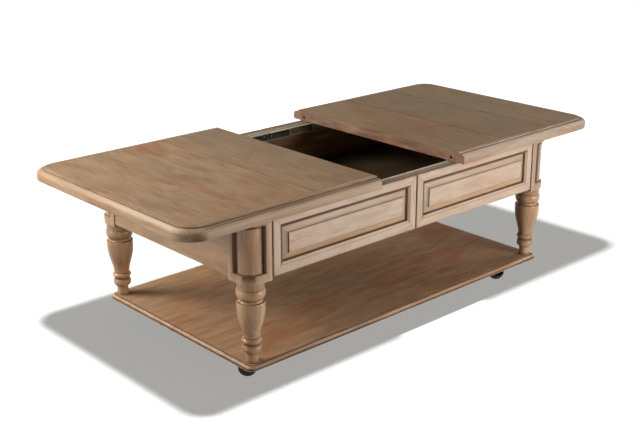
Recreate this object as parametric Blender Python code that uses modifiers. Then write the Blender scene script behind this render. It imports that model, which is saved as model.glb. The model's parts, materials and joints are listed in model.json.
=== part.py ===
"""Sliding top coffee table: two moulded lids on ball-bearing slides over a storage well,
turned legs with inset corner columns, and a low shelf on swivel casters.

Metres, +Z up. The origin is on the floor under the middle of the table, +X runs along its length
and +Y to the back. The lids are modelled drawn open.
"""
import math

import bmesh
import bpy
from mathutils import Matrix

# Overall sizes
TOP_LENGTH = 1.270
TOP_DEPTH = 0.730
TABLE_HEIGHT = 0.512
END_OVERHANG = 0.030
SIDE_OVERHANG = 0.026

# Lids
LID_THICKNESS = 0.032
LID_TRAVEL = 0.166
LID_MEETING_GAP = 0.001
LID_CLEARANCE = 0.003
LID_CORNER_RADIUS = 0.066
LID_CORNER_STEPS = 7
MOULDING_WIDTH = 0.034
MOULDING_STEP_INSET = 0.019
MOULDING_STEP_DEPTH = 0.004
MOULDING_ROUND_ACROSS = 0.017
MOULDING_ROUND_DOWN = 0.0105
MOULDING_ROUND_STEPS = 4
MOULDING_FOOT_EASE = 0.0025
PLANKS_PER_LID = 3
BOARD_GROOVE_WIDTH = 0.0036
BOARD_GROOVE_DEPTH = 0.0022
DOWEL_RADIUS = 0.005
DOWEL_SEATED = 0.020
DOWEL_PROUD = 0.012
DOWEL_EDGE_INSET = 0.050
DOWEL_HEIGHT = 0.011
DOWEL_HOLE_CLEARANCE = 0.0008

# Posts and legs
POST_SIZE = 0.079
POST_HEIGHT = 0.164
POST_STILE = 0.019
POST_CORNER_STEPS = 6
NOTCH_FLOOR = 0.023
NOTCH_CEILING = 0.013
COLUMN_RADIUS = 0.034
COLUMN_SEGMENTS = 40
LEG_SEGMENTS = 20
TONGUE_HEIGHT = 0.010
TONGUE_STEPS = 2
NECK_HEIGHT = 0.0085
NECK_RADIUS = 0.0350
BEAD_HEIGHT = 0.025
BEAD_RADIUS = 0.0385
BEAD_STEPS = 4
COVE_HEIGHT = 0.011
COVE_DEPTH = 0.003
COVE_FOOT_RADIUS = 0.0320
COVE_STEPS = 2
SHOULDER_HEIGHT = 0.004
SHOULDER_RADIUS = 0.0376
VASE_WAIST_RADIUS = 0.0220
VASE_SHARPNESS = 1.38
VASE_STEPS = 6
RING_HEIGHT = 0.0145
RING_RADIUS = 0.0265
RING_STEPS = 4
RING_GROOVE_HEIGHT = 0.005
RING_GROOVE_RADIUS = 0.0213
CUP_HEIGHT = 0.0225
CUP_RADIUS = 0.0253
CUP_BROW_HEIGHT = 0.010
CUP_STEPS = 3
ANKLE_HEIGHT = 0.028
ANKLE_RADIUS = 0.0160
FOOT_RADIUS = 0.0168
FOOT_TENON_RADIUS = 0.009
FOOT_TENON_LENGTH = 0.010

# Aprons and applied panels
APRON_HEIGHT = 0.1555
APRON_THICKNESS = 0.024
END_APRON_THICKNESS = 0.020
END_APRON_RECESS = 0.003
TENON_DEPTH = 0.012
TENON_THICKNESS = 0.010
TENON_SHOULDER = 0.015
PANEL_GAP = 0.005
FRAME_WIDTH = 0.031
FRAME_THICKNESS = 0.012
FRAME_EASE = 0.0015
STICKING_WIDTH = 0.008
STICKING_FILLET = 0.0006
STICKING_DEPTH = 0.0035
BEVEL_WIDTH = 0.019
BEVEL_LOW = 0.002
BEVEL_HIGH = 0.0095
FIELD_HEIGHT = 0.0117

# Well
FLOOR_THICKNESS = 0.010
FLOOR_TOP_ABOVE_APRON = 0.0235
FLOOR_GROOVE_DEPTH = 0.006

# Slides
SLIDE_HEIGHT = 0.027
SLIDE_DROP = 0.003
SLIDE_END_GAP = 0.002
SLIDE_STOP = 0.004
CHANNEL_DEPTH = 0.0105
CHANNEL_WALL = 0.0015
CHANNEL_LIP = 0.0012
CARRIAGE_DEPTH = 0.0125
CARRIAGE_WALL = 0.0015
CAGE_OUTER_SETBACK = 0.131
CAGE_WALL = 0.0008
BALL_ROOM = 0.004
ANGLE_WALL = 0.002
ANGLE_FLANGE = 0.020
ANGLE_DROP = 0.026
ANGLE_END_SETBACK = 0.006

# Shelf
SHELF_THICKNESS = 0.0145
SHELF_END_INSET = 0.0105
SHELF_SIDE_INSET = 0.0095
SHELF_CORNER_RADIUS = 0.020
SHELF_CORNER_STEPS = 4
SHELF_STEP_INSET = 0.009
SHELF_STEP_DEPTH = 0.0015
SHELF_BEAD_HEIGHT = 0.003
SHELF_QUIRK = 0.0013
SHELF_ROUND_STEPS = 4
SHELF_EASE = 0.0015

# Casters
CASTER_HEIGHT = 0.073
CASTER_END_INSET = 0.097
CASTER_SIDE_INSET = 0.1085
CASTER_TRAIL = 0.016
CASTER_REST_DEGREES = {"front_left": 137.0, "front_right": 317.0,
                       "rear_left": 317.0, "rear_right": 137.0}
PLATE_SIZE = 0.042
PLATE_THICKNESS = 0.003
PLATE_CORNER_RADIUS = 0.006
PLATE_CORNER_STEPS = 4
KINGPIN_RADIUS = 0.0035
KINGPIN_LENGTH = 0.012
KINGPIN_END_GAP = 0.001
WHEEL_RADIUS = 0.025
WHEEL_SEGMENTS = 24
WHEEL_WIDTH = 0.0135
WHEEL_SPACING = 0.027
WHEEL_TREAD_ROUND = 0.002
WHEEL_DISH_DEPTH = 0.0015
WHEEL_RIM = 0.006
HUB_RADIUS = 0.009
AXLE_RADIUS = 0.004
WEB_THICKNESS = 0.009
WEB_RADIUS = 0.012
BOSS_RADIUS = 0.011
BOSS_SEGMENTS = 16
HOOD_GAP = 0.0015
HOOD_WALL = 0.0025
HOOD_START_DEGREES = 25.0
HOOD_END_DEGREES = 190.0
HOOD_STEPS = 8
WEB_START_DEGREES = -120.0
WEB_END_DEGREES = 20.0
WEB_STEPS = 8

# Fits between pieces, and how meshes are cut, joined and shaded
FIT = 0.0003
CUT_MARGIN = 0.010
FUSE = 0.004
WELD = 0.000001
SMOOTH_DEGREES = 35.0

# Places worked out from the sizes above
CASE_TOP = TABLE_HEIGHT - LID_THICKNESS - LID_CLEARANCE
CASE_HALF_X = TOP_LENGTH / 2 - END_OVERHANG
CASE_HALF_Y = TOP_DEPTH / 2 - SIDE_OVERHANG
POST_BOTTOM = CASE_TOP - POST_HEIGHT
POST_AXIS_X = CASE_HALF_X - POST_SIZE / 2
POST_AXIS_Y = CASE_HALF_Y - POST_SIZE / 2
POST_INNER_X = CASE_HALF_X - POST_SIZE
POST_INNER_Y = CASE_HALF_Y - POST_SIZE
APRON_BOTTOM = CASE_TOP - APRON_HEIGHT
APRON_OUTER_Y = CASE_HALF_Y - FRAME_THICKNESS - FIT
APRON_INNER_Y = APRON_OUTER_Y - APRON_THICKNESS
END_APRON_OUTER_X = CASE_HALF_X - END_APRON_RECESS
END_APRON_INNER_X = END_APRON_OUTER_X - END_APRON_THICKNESS
FLOOR_TOP = APRON_BOTTOM + FLOOR_TOP_ABOVE_APRON
SHELF_TOP = CASTER_HEIGHT + SHELF_THICKNESS
SHELF_HALF_X = CASE_HALF_X - SHELF_END_INSET
SHELF_HALF_Y = CASE_HALF_Y - SHELF_SIDE_INSET
LID_BOTTOM = TABLE_HEIGHT - LID_THICKNESS
LID_LENGTH = TOP_LENGTH / 2
LID_REST_X = LID_TRAVEL + LID_MEETING_GAP / 2
DOWEL_Y = TOP_DEPTH / 2 - DOWEL_EDGE_INSET
DOWEL_Z = LID_BOTTOM + DOWEL_HEIGHT
SLIDE_Z = CASE_TOP - SLIDE_DROP - SLIDE_HEIGHT / 2
CHANNEL_OUTER_END = POST_INNER_X - SLIDE_END_GAP
CHANNEL_INNER_END = SLIDE_END_GAP
CARRIAGE_OUTER_END = CHANNEL_OUTER_END - SLIDE_STOP
CARRIAGE_INNER_END = CHANNEL_INNER_END + SLIDE_STOP + LID_TRAVEL
CAGE_INNER_END = CHANNEL_INNER_END + SLIDE_STOP + LID_TRAVEL / 2
CAGE_OUTER_END = CARRIAGE_OUTER_END - CAGE_OUTER_SETBACK
CASTER_X = SHELF_HALF_X - CASTER_END_INSET
CASTER_Y = SHELF_HALF_Y - CASTER_SIDE_INSET
PLATE_BOTTOM = CASTER_HEIGHT - FIT - PLATE_THICKNESS

SIDES_X = {"left": -1, "right": 1}
SIDES_Y = {"front": -1, "rear": 1}
PARTS_COLLECTION = "sliding_top_coffee_table"
CUTTERS_COLLECTION = "cutters"

# How an outline drawn in X and Y, and pulled along Z, is turned to be pulled along X or Y
PULL_ALONG = {
    "X": Matrix(((0, 0, 1), (1, 0, 0), (0, 1, 0))).to_4x4(),
    "Y": Matrix(((1, 0, 0), (0, 0, -1), (0, 1, 0))).to_4x4(),
    "Z": Matrix.Identity(4),
}


def clear_scene():
    for item in list(bpy.data.objects):
        bpy.data.objects.remove(item, do_unlink=True)


def collection(name):
    group = bpy.data.collections.get(name) or bpy.data.collections.new(name)
    if group.name not in bpy.context.scene.collection.children:
        bpy.context.scene.collection.children.link(group)
    return group


def material(name, colour, roughness, metallic=0.0):
    finish = bpy.data.materials.get(name) or bpy.data.materials.new(name)
    finish.use_nodes = True
    shader = finish.node_tree.nodes["Principled BSDF"]
    shader.inputs["Base Color"].default_value = (*colour, 1.0)
    shader.inputs["Roughness"].default_value = roughness
    shader.inputs["Metallic"].default_value = metallic
    return finish


def finishes():
    return {
        "lid_wood": material("lid_wood", (0.33, 0.22, 0.14), 0.45),
        "case_wood": material("case_wood", (0.42, 0.31, 0.22), 0.50),
        "leg_wood": material("leg_wood", (0.36, 0.23, 0.14), 0.42),
        "well_wood": material("well_wood", (0.10, 0.06, 0.035), 0.60),
        "dowel_wood": material("dowel_wood", (0.55, 0.38, 0.22), 0.60),
        "slide_steel": material("slide_steel", (0.05, 0.05, 0.055), 0.35, 1.0),
        "cage_steel": material("cage_steel", (0.60, 0.60, 0.60), 0.28, 1.0),
        "caster_plastic": material("caster_plastic", (0.02, 0.02, 0.022), 0.45),
        "caster_steel": material("caster_steel", (0.50, 0.50, 0.50), 0.35, 1.0),
    }


def part(name, mesh, finish, parent=None):
    """Add a named piece of the table, with its finish, to the parts collection."""
    mesh.name = name
    mesh.materials.clear()
    mesh.materials.append(finish)
    mesh.shade_smooth()
    mesh.set_sharp_from_angle(angle=math.radians(SMOOTH_DEGREES))
    piece = bpy.data.objects.new(name, mesh)
    collection(PARTS_COLLECTION).objects.link(piece)
    piece.parent = parent
    return piece


def cutter(name, mesh, parent=None):
    """Add a shape that only cuts or joins other pieces."""
    mesh.name = name
    shape = bpy.data.objects.new(name, mesh)
    collection(CUTTERS_COLLECTION).objects.link(shape)
    shape.hide_render = True
    shape.display_type = "WIRE"
    shape.parent = parent
    return shape


def empty(name, location, turn_z=0.0):
    pivot = bpy.data.objects.new(name, None)
    collection(PARTS_COLLECTION).objects.link(pivot)
    pivot.location = location
    pivot.rotation_euler = (0.0, 0.0, turn_z)
    return pivot


def boolean(piece, other, operation):
    step = piece.modifiers.new(f"{operation.lower()} {other.name}", "BOOLEAN")
    step.operation = operation
    step.object = other


def box_mesh(low, high):
    """A box between two corners."""
    mesh = bpy.data.meshes.new("box")
    solid = bmesh.new()
    bmesh.ops.create_cube(solid, size=1.0)
    for axis in range(3):
        for corner in solid.verts:
            corner.co[axis] = high[axis] if corner.co[axis] > 0 else low[axis]
    bmesh.ops.recalc_face_normals(solid, faces=solid.faces)
    solid.to_mesh(mesh)
    solid.free()
    return mesh


def spread(first, second):
    """Two numbers as a low and a high one."""
    return min(first, second), max(first, second)


def sided_box(side_x, side_y, near, far):
    """A box given on the +X +Y side of the table, moved to the side that the signs name."""
    low_x, high_x = spread(side_x * near[0], side_x * far[0])
    low_y, high_y = spread(side_y * near[1], side_y * far[1])
    return box_mesh((low_x, low_y, near[2]), (high_x, high_y, far[2]))


def prism_mesh(outline, low, high, axis="Z"):
    """A flat outline pulled from low to high along an axis."""
    curve = bpy.data.curves.new("outline", "CURVE")
    curve.dimensions = "2D"
    curve.fill_mode = "BOTH"
    curve.extrude = (high - low) / 2
    spline = curve.splines.new("POLY")
    spline.points.add(len(outline) - 1)
    for point, (x, y) in zip(spline.points, outline):
        point.co = (x, y, 0.0, 1.0)
    spline.use_cyclic_u = True
    drawn = bpy.data.objects.new("outline", curve)
    bpy.context.scene.collection.objects.link(drawn)
    depsgraph = bpy.context.evaluated_depsgraph_get()
    mesh = bpy.data.meshes.new_from_object(drawn.evaluated_get(depsgraph))
    bpy.data.objects.remove(drawn, do_unlink=True)
    solid = bmesh.new()
    solid.from_mesh(mesh)
    bmesh.ops.remove_doubles(solid, verts=solid.verts, dist=WELD)
    bmesh.ops.translate(solid, verts=solid.verts, vec=(0.0, 0.0, (low + high) / 2))
    bmesh.ops.recalc_face_normals(solid, faces=solid.faces)
    solid.to_mesh(mesh)
    solid.free()
    mesh.transform(PULL_ALONG[axis])
    return mesh


def cylinder_mesh(radius, low, high, segments, axis="Z"):
    mesh = bpy.data.meshes.new("cylinder")
    solid = bmesh.new()
    bmesh.ops.create_cone(solid, cap_ends=True, segments=segments, radius1=radius,
                          radius2=radius, depth=high - low)
    bmesh.ops.translate(solid, verts=solid.verts, vec=(0.0, 0.0, (low + high) / 2))
    solid.to_mesh(mesh)
    solid.free()
    mesh.transform(PULL_ALONG[axis])
    return mesh


def moved(mesh, x=0.0, y=0.0, z=0.0):
    mesh.transform(Matrix.Translation((x, y, z)))
    return mesh


def loft_mesh(rings, ring_shaped=False):
    """A solid through a stack of outlines, capped at both ends or closed into a ring."""
    mesh = bpy.data.meshes.new("loft")
    solid = bmesh.new()
    loops = [[solid.verts.new(point) for point in ring] for ring in rings]
    pairs = list(zip(loops, loops[1:]))
    if ring_shaped:
        pairs.append((loops[-1], loops[0]))
    else:
        solid.faces.new(loops[0])
        solid.faces.new(loops[-1])
    count = len(loops[0])
    for lower, upper in pairs:
        for here in range(count):
            after = (here + 1) % count
            solid.faces.new((lower[here], lower[after], upper[after], upper[here]))
    bmesh.ops.recalc_face_normals(solid, faces=solid.faces)
    solid.to_mesh(mesh)
    solid.free()
    return mesh


def profile_mesh(profile):
    """The line of a turned profile, from (radius, height) pairs that run down."""
    mesh = bpy.data.meshes.new("profile")
    mesh.from_pydata([(radius, 0.0, height) for radius, height in profile],
                     [(here, here + 1) for here in range(len(profile) - 1)], [])
    return mesh


def turn(piece, segments):
    """Turn a piece's profile about its Z axis."""
    lathe = piece.modifiers.new("turned", "SCREW")
    lathe.steps = segments
    lathe.render_steps = segments
    lathe.use_merge_vertices = True
    lathe.merge_threshold = WELD
    lathe.use_smooth_shade = True


def arc(centre_x, centre_y, radius, start_degrees, end_degrees, steps):
    points = []
    for step in range(steps + 1):
        angle = math.radians(start_degrees + (end_degrees - start_degrees) * step / steps)
        points.append((centre_x + radius * math.cos(angle), centre_y + radius * math.sin(angle)))
    return points


def rounded_rectangle(half_x, half_y, radius, steps):
    """An outline with four round corners, anticlockwise from the +X +Y corner."""
    points = []
    for turn_degrees, sign_x, sign_y in ((0, 1, 1), (90, -1, 1), (180, -1, -1), (270, 1, -1)):
        points += arc(sign_x * (half_x - radius), sign_y * (half_y - radius), radius,
                      turn_degrees, turn_degrees + 90, steps)
    return points


def rectangle(half_x, half_y):
    return [(half_x, half_y), (-half_x, half_y), (-half_x, -half_y), (half_x, -half_y)]


def moulded_board_mesh(half_x, half_y, radius, steps, edge):
    """A round-cornered board whose edge follows (inset, height) pairs from the bottom up."""
    rings = []
    for inset, height in edge:
        outline = rounded_rectangle(half_x - inset, half_y - inset, radius - inset, steps)
        rings.append([(x, y, height) for x, y in outline])
    return loft_mesh(rings)


def shelf_edge():
    """Bead below, a small quirk, then a quarter round up to a step in the top."""
    round_low = CASTER_HEIGHT + SHELF_BEAD_HEIGHT + SHELF_QUIRK
    round_high = SHELF_TOP - SHELF_STEP_DEPTH
    edge = [(SHELF_EASE, CASTER_HEIGHT), (0.0, CASTER_HEIGHT + SHELF_EASE),
            (0.0, CASTER_HEIGHT + SHELF_BEAD_HEIGHT), (SHELF_QUIRK, round_low)]
    for step in range(1, SHELF_ROUND_STEPS + 1):
        angle = math.pi / 2 * step / SHELF_ROUND_STEPS
        edge.append((SHELF_QUIRK + (SHELF_STEP_INSET - 2 * SHELF_QUIRK) * (1 - math.cos(angle)),
                     round_low + (round_high - round_low) * math.sin(angle)))
    edge.append((SHELF_STEP_INSET, round_high))
    edge.append((SHELF_STEP_INSET, SHELF_TOP))
    return edge


def make_shelf(finish):
    shelf = part("shelf", moulded_board_mesh(SHELF_HALF_X, SHELF_HALF_Y, SHELF_CORNER_RADIUS,
                                             SHELF_CORNER_STEPS, shelf_edge()), finish["leg_wood"])
    for end, side_x in SIDES_X.items():
        for face, side_y in SIDES_Y.items():
            hole = cylinder_mesh(FOOT_TENON_RADIUS + FIT, SHELF_TOP - FOOT_TENON_LENGTH - FIT,
                                 SHELF_TOP + CUT_MARGIN, LEG_SEGMENTS)
            moved(hole, side_x * POST_AXIS_X, side_y * POST_AXIS_Y)
            boolean(shelf, cutter(f"tenon_hole_{face}_{end}", hole), "DIFFERENCE")


def half_round(radius, edge_radius, top, height, steps):
    """A bead between two edges of equal radius, swelling to its full radius midway."""
    points = []
    for step in range(steps + 1):
        along = step / steps
        swell = math.sin(math.pi * along)
        points.append((edge_radius + (radius - edge_radius) * swell, top - height * along))
    return points


def leg_profile():
    """The turned leg from inside its post down to its foot tenon, as (radius, height)."""
    top = POST_BOTTOM
    profile = [(0.0, top + FUSE), (NECK_RADIUS - FUSE, top + FUSE)]
    flare = POST_SIZE / 2 - FIT - NECK_RADIUS
    for step in range(TONGUE_STEPS + 1):
        angle = math.pi / 2 * step / TONGUE_STEPS
        profile.append((NECK_RADIUS + flare * (1 - math.sin(angle)),
                        top - FIT - TONGUE_HEIGHT * (1 - math.cos(angle))))
    top -= TONGUE_HEIGHT + NECK_HEIGHT
    profile += half_round(BEAD_RADIUS, NECK_RADIUS, top, BEAD_HEIGHT, BEAD_STEPS)
    top -= BEAD_HEIGHT
    for step in range(1, COVE_STEPS + 1):
        along = step / COVE_STEPS
        hollow = COVE_DEPTH * math.sin(math.pi * along)
        profile.append((NECK_RADIUS + (COVE_FOOT_RADIUS - NECK_RADIUS) * along - hollow,
                        top - COVE_HEIGHT * along))
    top -= COVE_HEIGHT
    profile.append((SHOULDER_RADIUS, top - FIT))
    top -= SHOULDER_HEIGHT
    vase_low = SHELF_TOP + ANKLE_HEIGHT + CUP_HEIGHT + RING_GROOVE_HEIGHT + RING_HEIGHT
    for step in range(VASE_STEPS + 1):
        along = step / VASE_STEPS
        fall = 0.5 + 0.5 * math.cos(math.pi * along ** VASE_SHARPNESS)
        profile.append((VASE_WAIST_RADIUS + (SHOULDER_RADIUS - VASE_WAIST_RADIUS) * fall,
                        top - (top - vase_low) * along))
    profile += half_round(RING_RADIUS, VASE_WAIST_RADIUS, vase_low, RING_HEIGHT, RING_STEPS)[1:]
    top = vase_low - RING_HEIGHT
    profile.append((RING_GROOVE_RADIUS, top - RING_GROOVE_HEIGHT / 2))
    top -= RING_GROOVE_HEIGHT
    for step in range(CUP_STEPS + 1):
        angle = math.pi / 2 * step / CUP_STEPS
        profile.append((RING_GROOVE_RADIUS + (CUP_RADIUS - RING_GROOVE_RADIUS) * math.sin(angle),
                        top - CUP_BROW_HEIGHT * (1 - math.cos(angle))))
    top -= CUP_BROW_HEIGHT
    for step in range(1, CUP_STEPS + 1):
        angle = math.pi / 2 * step / CUP_STEPS
        profile.append((ANKLE_RADIUS + (CUP_RADIUS - ANKLE_RADIUS) * math.cos(angle),
                        top - (CUP_HEIGHT - CUP_BROW_HEIGHT) * math.sin(angle)))
    profile.append((FOOT_RADIUS, SHELF_TOP + FIT))
    profile.append((FOOT_TENON_RADIUS, SHELF_TOP + FIT))
    profile.append((FOOT_TENON_RADIUS, SHELF_TOP - FOOT_TENON_LENGTH))
    profile.append((0.0, SHELF_TOP - FOOT_TENON_LENGTH))
    return profile


def post_outline(side_x, side_y):
    """A square post whose outer corner is rounded to its full half width."""
    half = POST_SIZE / 2
    corner = arc(0.0, 0.0, half, 0, 90, POST_CORNER_STEPS)
    points = corner + [(-half, half), (-half, -half), (half, -half)]
    return [(side_x * x, side_y * y) for x, y in points]


def make_leg(face, end, finish):
    side_x, side_y = SIDES_X[end], SIDES_Y[face]
    half = POST_SIZE / 2
    wall = half - POST_STILE
    floor, ceiling = POST_BOTTOM + NOTCH_FLOOR, CASE_TOP - NOTCH_CEILING
    axis = empty(f"leg_axis_{face}_{end}", (side_x * POST_AXIS_X, side_y * POST_AXIS_Y, 0.0))
    leg = part(f"leg_{face}_{end}", prism_mesh(post_outline(side_x, side_y), POST_BOTTOM, CASE_TOP),
               finish["leg_wood"], axis)
    turning = cutter(f"turning_{face}_{end}", profile_mesh(leg_profile()), axis)
    turn(turning, LEG_SEGMENTS)
    boolean(leg, turning, "UNION")
    outside = half + CUT_MARGIN
    notch = sided_box(side_x, side_y, (-wall, -wall, floor), (outside, outside, ceiling))
    boolean(leg, cutter(f"notch_{face}_{end}", notch, axis), "DIFFERENCE")

    mortise_low, mortise_high = tenon_bottom() - FIT, tenon_top() + FIT
    depth = TENON_DEPTH + FIT - half
    low, high = front_tenon_span()
    front = sided_box(side_x, side_y, (-outside, low - POST_AXIS_Y - FIT, mortise_low),
                      (depth, high - POST_AXIS_Y + FIT, mortise_high))
    boolean(leg, cutter(f"apron_mortise_{face}_{end}", front, axis), "DIFFERENCE")
    low, high = end_tenon_span()
    side = sided_box(side_x, side_y, (low - POST_AXIS_X - FIT, -outside, mortise_low),
                     (high - POST_AXIS_X + FIT, depth, mortise_high))
    boolean(leg, cutter(f"end_mortise_{face}_{end}", side, axis), "DIFFERENCE")

    column = part(f"column_{face}_{end}",
                  cylinder_mesh(COLUMN_RADIUS, floor + FIT, ceiling - FIT, COLUMN_SEGMENTS),
                  finish["leg_wood"], axis)
    corner = sided_box(side_x, side_y, (-wall + FIT, -wall + FIT, floor - CUT_MARGIN),
                       (outside, outside, ceiling + CUT_MARGIN))
    boolean(column, cutter(f"column_corner_{face}_{end}", corner, axis), "INTERSECT")


def tenon_bottom():
    return FLOOR_TOP + TENON_SHOULDER


def tenon_top():
    return CASE_TOP - TENON_SHOULDER


def front_tenon_span():
    middle = (APRON_OUTER_Y + APRON_INNER_Y) / 2
    return middle - TENON_THICKNESS / 2, middle + TENON_THICKNESS / 2


def end_tenon_span():
    middle = (END_APRON_OUTER_X + END_APRON_INNER_X) / 2
    return middle - TENON_THICKNESS / 2, middle + TENON_THICKNESS / 2


def apron_section(side, outer, inner):
    """A board's section, grooved on its inner face for the well floor."""
    groove_low = FLOOR_TOP - FLOOR_THICKNESS - FIT
    groove_high = FLOOR_TOP + FIT
    groove = inner + FLOOR_GROOVE_DEPTH
    points = [(outer, APRON_BOTTOM), (outer, CASE_TOP), (inner, CASE_TOP), (inner, groove_high),
              (groove, groove_high), (groove, groove_low), (inner, groove_low), (inner, APRON_BOTTOM)]
    return [(side * across, height) for across, height in points]


def make_front_and_rear_aprons(finish):
    low, high = front_tenon_span()
    reach = POST_INNER_X - FIT
    for face, side_y in SIDES_Y.items():
        board = part(f"{face}_apron", prism_mesh(apron_section(side_y, APRON_OUTER_Y, APRON_INNER_Y),
                                                 -reach, reach, "X"), finish["case_wood"])
        for end, side_x in SIDES_X.items():
            tenon = sided_box(side_x, side_y, (reach - FUSE, low, tenon_bottom()),
                              (POST_INNER_X + TENON_DEPTH, high, tenon_top()))
            boolean(board, cutter(f"{face}_apron_tenon_{end}", tenon), "UNION")


def make_end_aprons(finish):
    low, high = end_tenon_span()
    reach = POST_INNER_Y - FIT
    for end, side_x in SIDES_X.items():
        section = apron_section(side_x, END_APRON_OUTER_X, END_APRON_INNER_X)
        board = part(f"{end}_end_apron", prism_mesh(section, -reach, reach, "Y"), finish["leg_wood"])
        for face, side_y in SIDES_Y.items():
            tenon = sided_box(side_x, side_y, (low, reach - FUSE, tenon_bottom()),
                              (high, POST_INNER_Y + TENON_DEPTH, tenon_top()))
            boolean(board, cutter(f"{end}_apron_tenon_{face}", tenon), "UNION")


def make_well_floor(finish):
    """A board with its corners cut out round the posts."""
    far_x = END_APRON_INNER_X + FLOOR_GROOVE_DEPTH - FIT
    far_y = APRON_INNER_Y + FLOOR_GROOVE_DEPTH - FIT
    near_x, near_y = POST_INNER_X - FIT, POST_INNER_Y - FIT
    quarter = [(far_x, near_y), (near_x, near_y), (near_x, far_y)]
    outline = list(quarter)
    outline += [(-x, y) for x, y in reversed(quarter)]
    outline += [(-x, -y) for x, y in quarter]
    outline += [(x, -y) for x, y in reversed(quarter)]
    part("well_floor", prism_mesh(outline, FLOOR_TOP - FLOOR_THICKNESS, FLOOR_TOP), finish["well_wood"])


def make_applied_panel(face, end, finish):
    """A mitred frame on the apron's face, and the raised panel that fills it."""
    side_x, side_y = SIDES_X[end], SIDES_Y[face]
    inner, outer = PANEL_GAP / 2, POST_INNER_X - PANEL_GAP
    half_x, half_z = (outer - inner) / 2, APRON_HEIGHT / 2
    centre_x, centre_z = side_x * (inner + outer) / 2, APRON_BOTTOM + half_z
    back = CASE_HALF_Y - FRAME_THICKNESS

    def ring(inset, height):
        return [(centre_x + x, side_y * (back + height), centre_z + z)
                for x, z in rectangle(half_x - inset, half_z - inset)]

    frame_section = [(0.0, 0.0), (0.0, FRAME_THICKNESS - FRAME_EASE), (FRAME_EASE, FRAME_THICKNESS),
                     (FRAME_WIDTH - STICKING_WIDTH, FRAME_THICKNESS),
                     (FRAME_WIDTH - STICKING_WIDTH, FRAME_THICKNESS - STICKING_FILLET),
                     (FRAME_WIDTH, FRAME_THICKNESS - STICKING_DEPTH), (FRAME_WIDTH, 0.0)]
    frame = loft_mesh([ring(*corner) for corner in frame_section], ring_shaped=True)
    part(f"{face}_{end}_panel_frame", frame, finish["case_wood"])

    rim = FRAME_WIDTH + FIT
    panel_section = [(rim, 0.0), (rim, BEVEL_LOW), (rim + BEVEL_WIDTH, BEVEL_HIGH),
                     (rim + BEVEL_WIDTH, FIELD_HEIGHT)]
    panel = loft_mesh([ring(*corner) for corner in panel_section])
    part(f"{face}_{end}_raised_panel", panel, finish["case_wood"])


def lid_edge():
    """The moulded edge from the bottom up: eased foot, flat, flattened round, step."""
    low = LID_BOTTOM
    edge = [(MOULDING_FOOT_EASE, low), (0.0, low + MOULDING_FOOT_EASE)]
    round_top = TABLE_HEIGHT - MOULDING_STEP_DEPTH
    for step in range(MOULDING_ROUND_STEPS + 1):
        angle = math.pi / 2 * step / MOULDING_ROUND_STEPS
        edge.append((MOULDING_ROUND_ACROSS * (1 - math.cos(angle)),
                     round_top - MOULDING_ROUND_DOWN * (1 - math.sin(angle))))
    edge.append((MOULDING_STEP_INSET, round_top))
    edge.append((MOULDING_STEP_INSET, TABLE_HEIGHT))
    return edge


def lid_moulding(name, outline, side_x, finish, parent):
    """One edge strip: the moulded blank kept inside an outline."""
    blank = moulded_board_mesh(LID_LENGTH, TOP_DEPTH / 2, LID_CORNER_RADIUS, LID_CORNER_STEPS, lid_edge())
    strip = part(name, blank, finish["lid_wood"], parent)
    keep = prism_mesh([(side_x * x, y) for x, y in outline], LID_BOTTOM - CUT_MARGIN,
                      TABLE_HEIGHT + CUT_MARGIN)
    boolean(strip, cutter(f"{name}_outline", keep, parent), "INTERSECT")


def make_lid(end, finish):
    """A boarded panel, square at the meeting edge, with three mitred mouldings round it."""
    side_x = SIDES_X[end]
    parent = empty(f"{end}_lid_slide", (side_x * LID_REST_X, 0.0, 0.0))
    half_y = TOP_DEPTH / 2
    panel_x, panel_y = LID_LENGTH - MOULDING_WIDTH, half_y - MOULDING_WIDTH
    corner_x, corner_y = LID_LENGTH + CUT_MARGIN, half_y + CUT_MARGIN
    seam = FIT / 2

    panel = part(f"{end}_lid_panel",
                 sided_box(side_x, 1, (0.0, -panel_y + seam, LID_BOTTOM),
                           (panel_x - seam, panel_y - seam, TABLE_HEIGHT)), finish["lid_wood"], parent)
    for board in range(1, PLANKS_PER_LID):
        middle = side_x * LID_LENGTH * board / PLANKS_PER_LID
        groove = [(middle, TABLE_HEIGHT - BOARD_GROOVE_DEPTH),
                  (middle + BOARD_GROOVE_WIDTH, TABLE_HEIGHT + BOARD_GROOVE_DEPTH),
                  (middle - BOARD_GROOVE_WIDTH, TABLE_HEIGHT + BOARD_GROOVE_DEPTH)]
        cut = prism_mesh(groove, -half_y, half_y, "Y")
        boolean(panel, cutter(f"{end}_board_groove_{board}", cut, parent), "DIFFERENCE")

    for face, side_y in SIDES_Y.items():
        strip = [(0.0, side_y * corner_y), (corner_x - seam, side_y * corner_y),
                 (panel_x - seam, side_y * (panel_y + seam)), (0.0, side_y * (panel_y + seam))]
        lid_moulding(f"{end}_lid_{face}_moulding", strip, side_x, finish, parent)
    end_strip = [(panel_x + seam, panel_y + seam - FIT), (corner_x, corner_y - 2 * FIT),
                 (corner_x, -corner_y + 2 * FIT), (panel_x + seam, -panel_y - seam + FIT)]
    lid_moulding(f"{end}_lid_end_moulding", end_strip, side_x, finish, parent)
    return panel, parent


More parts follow.
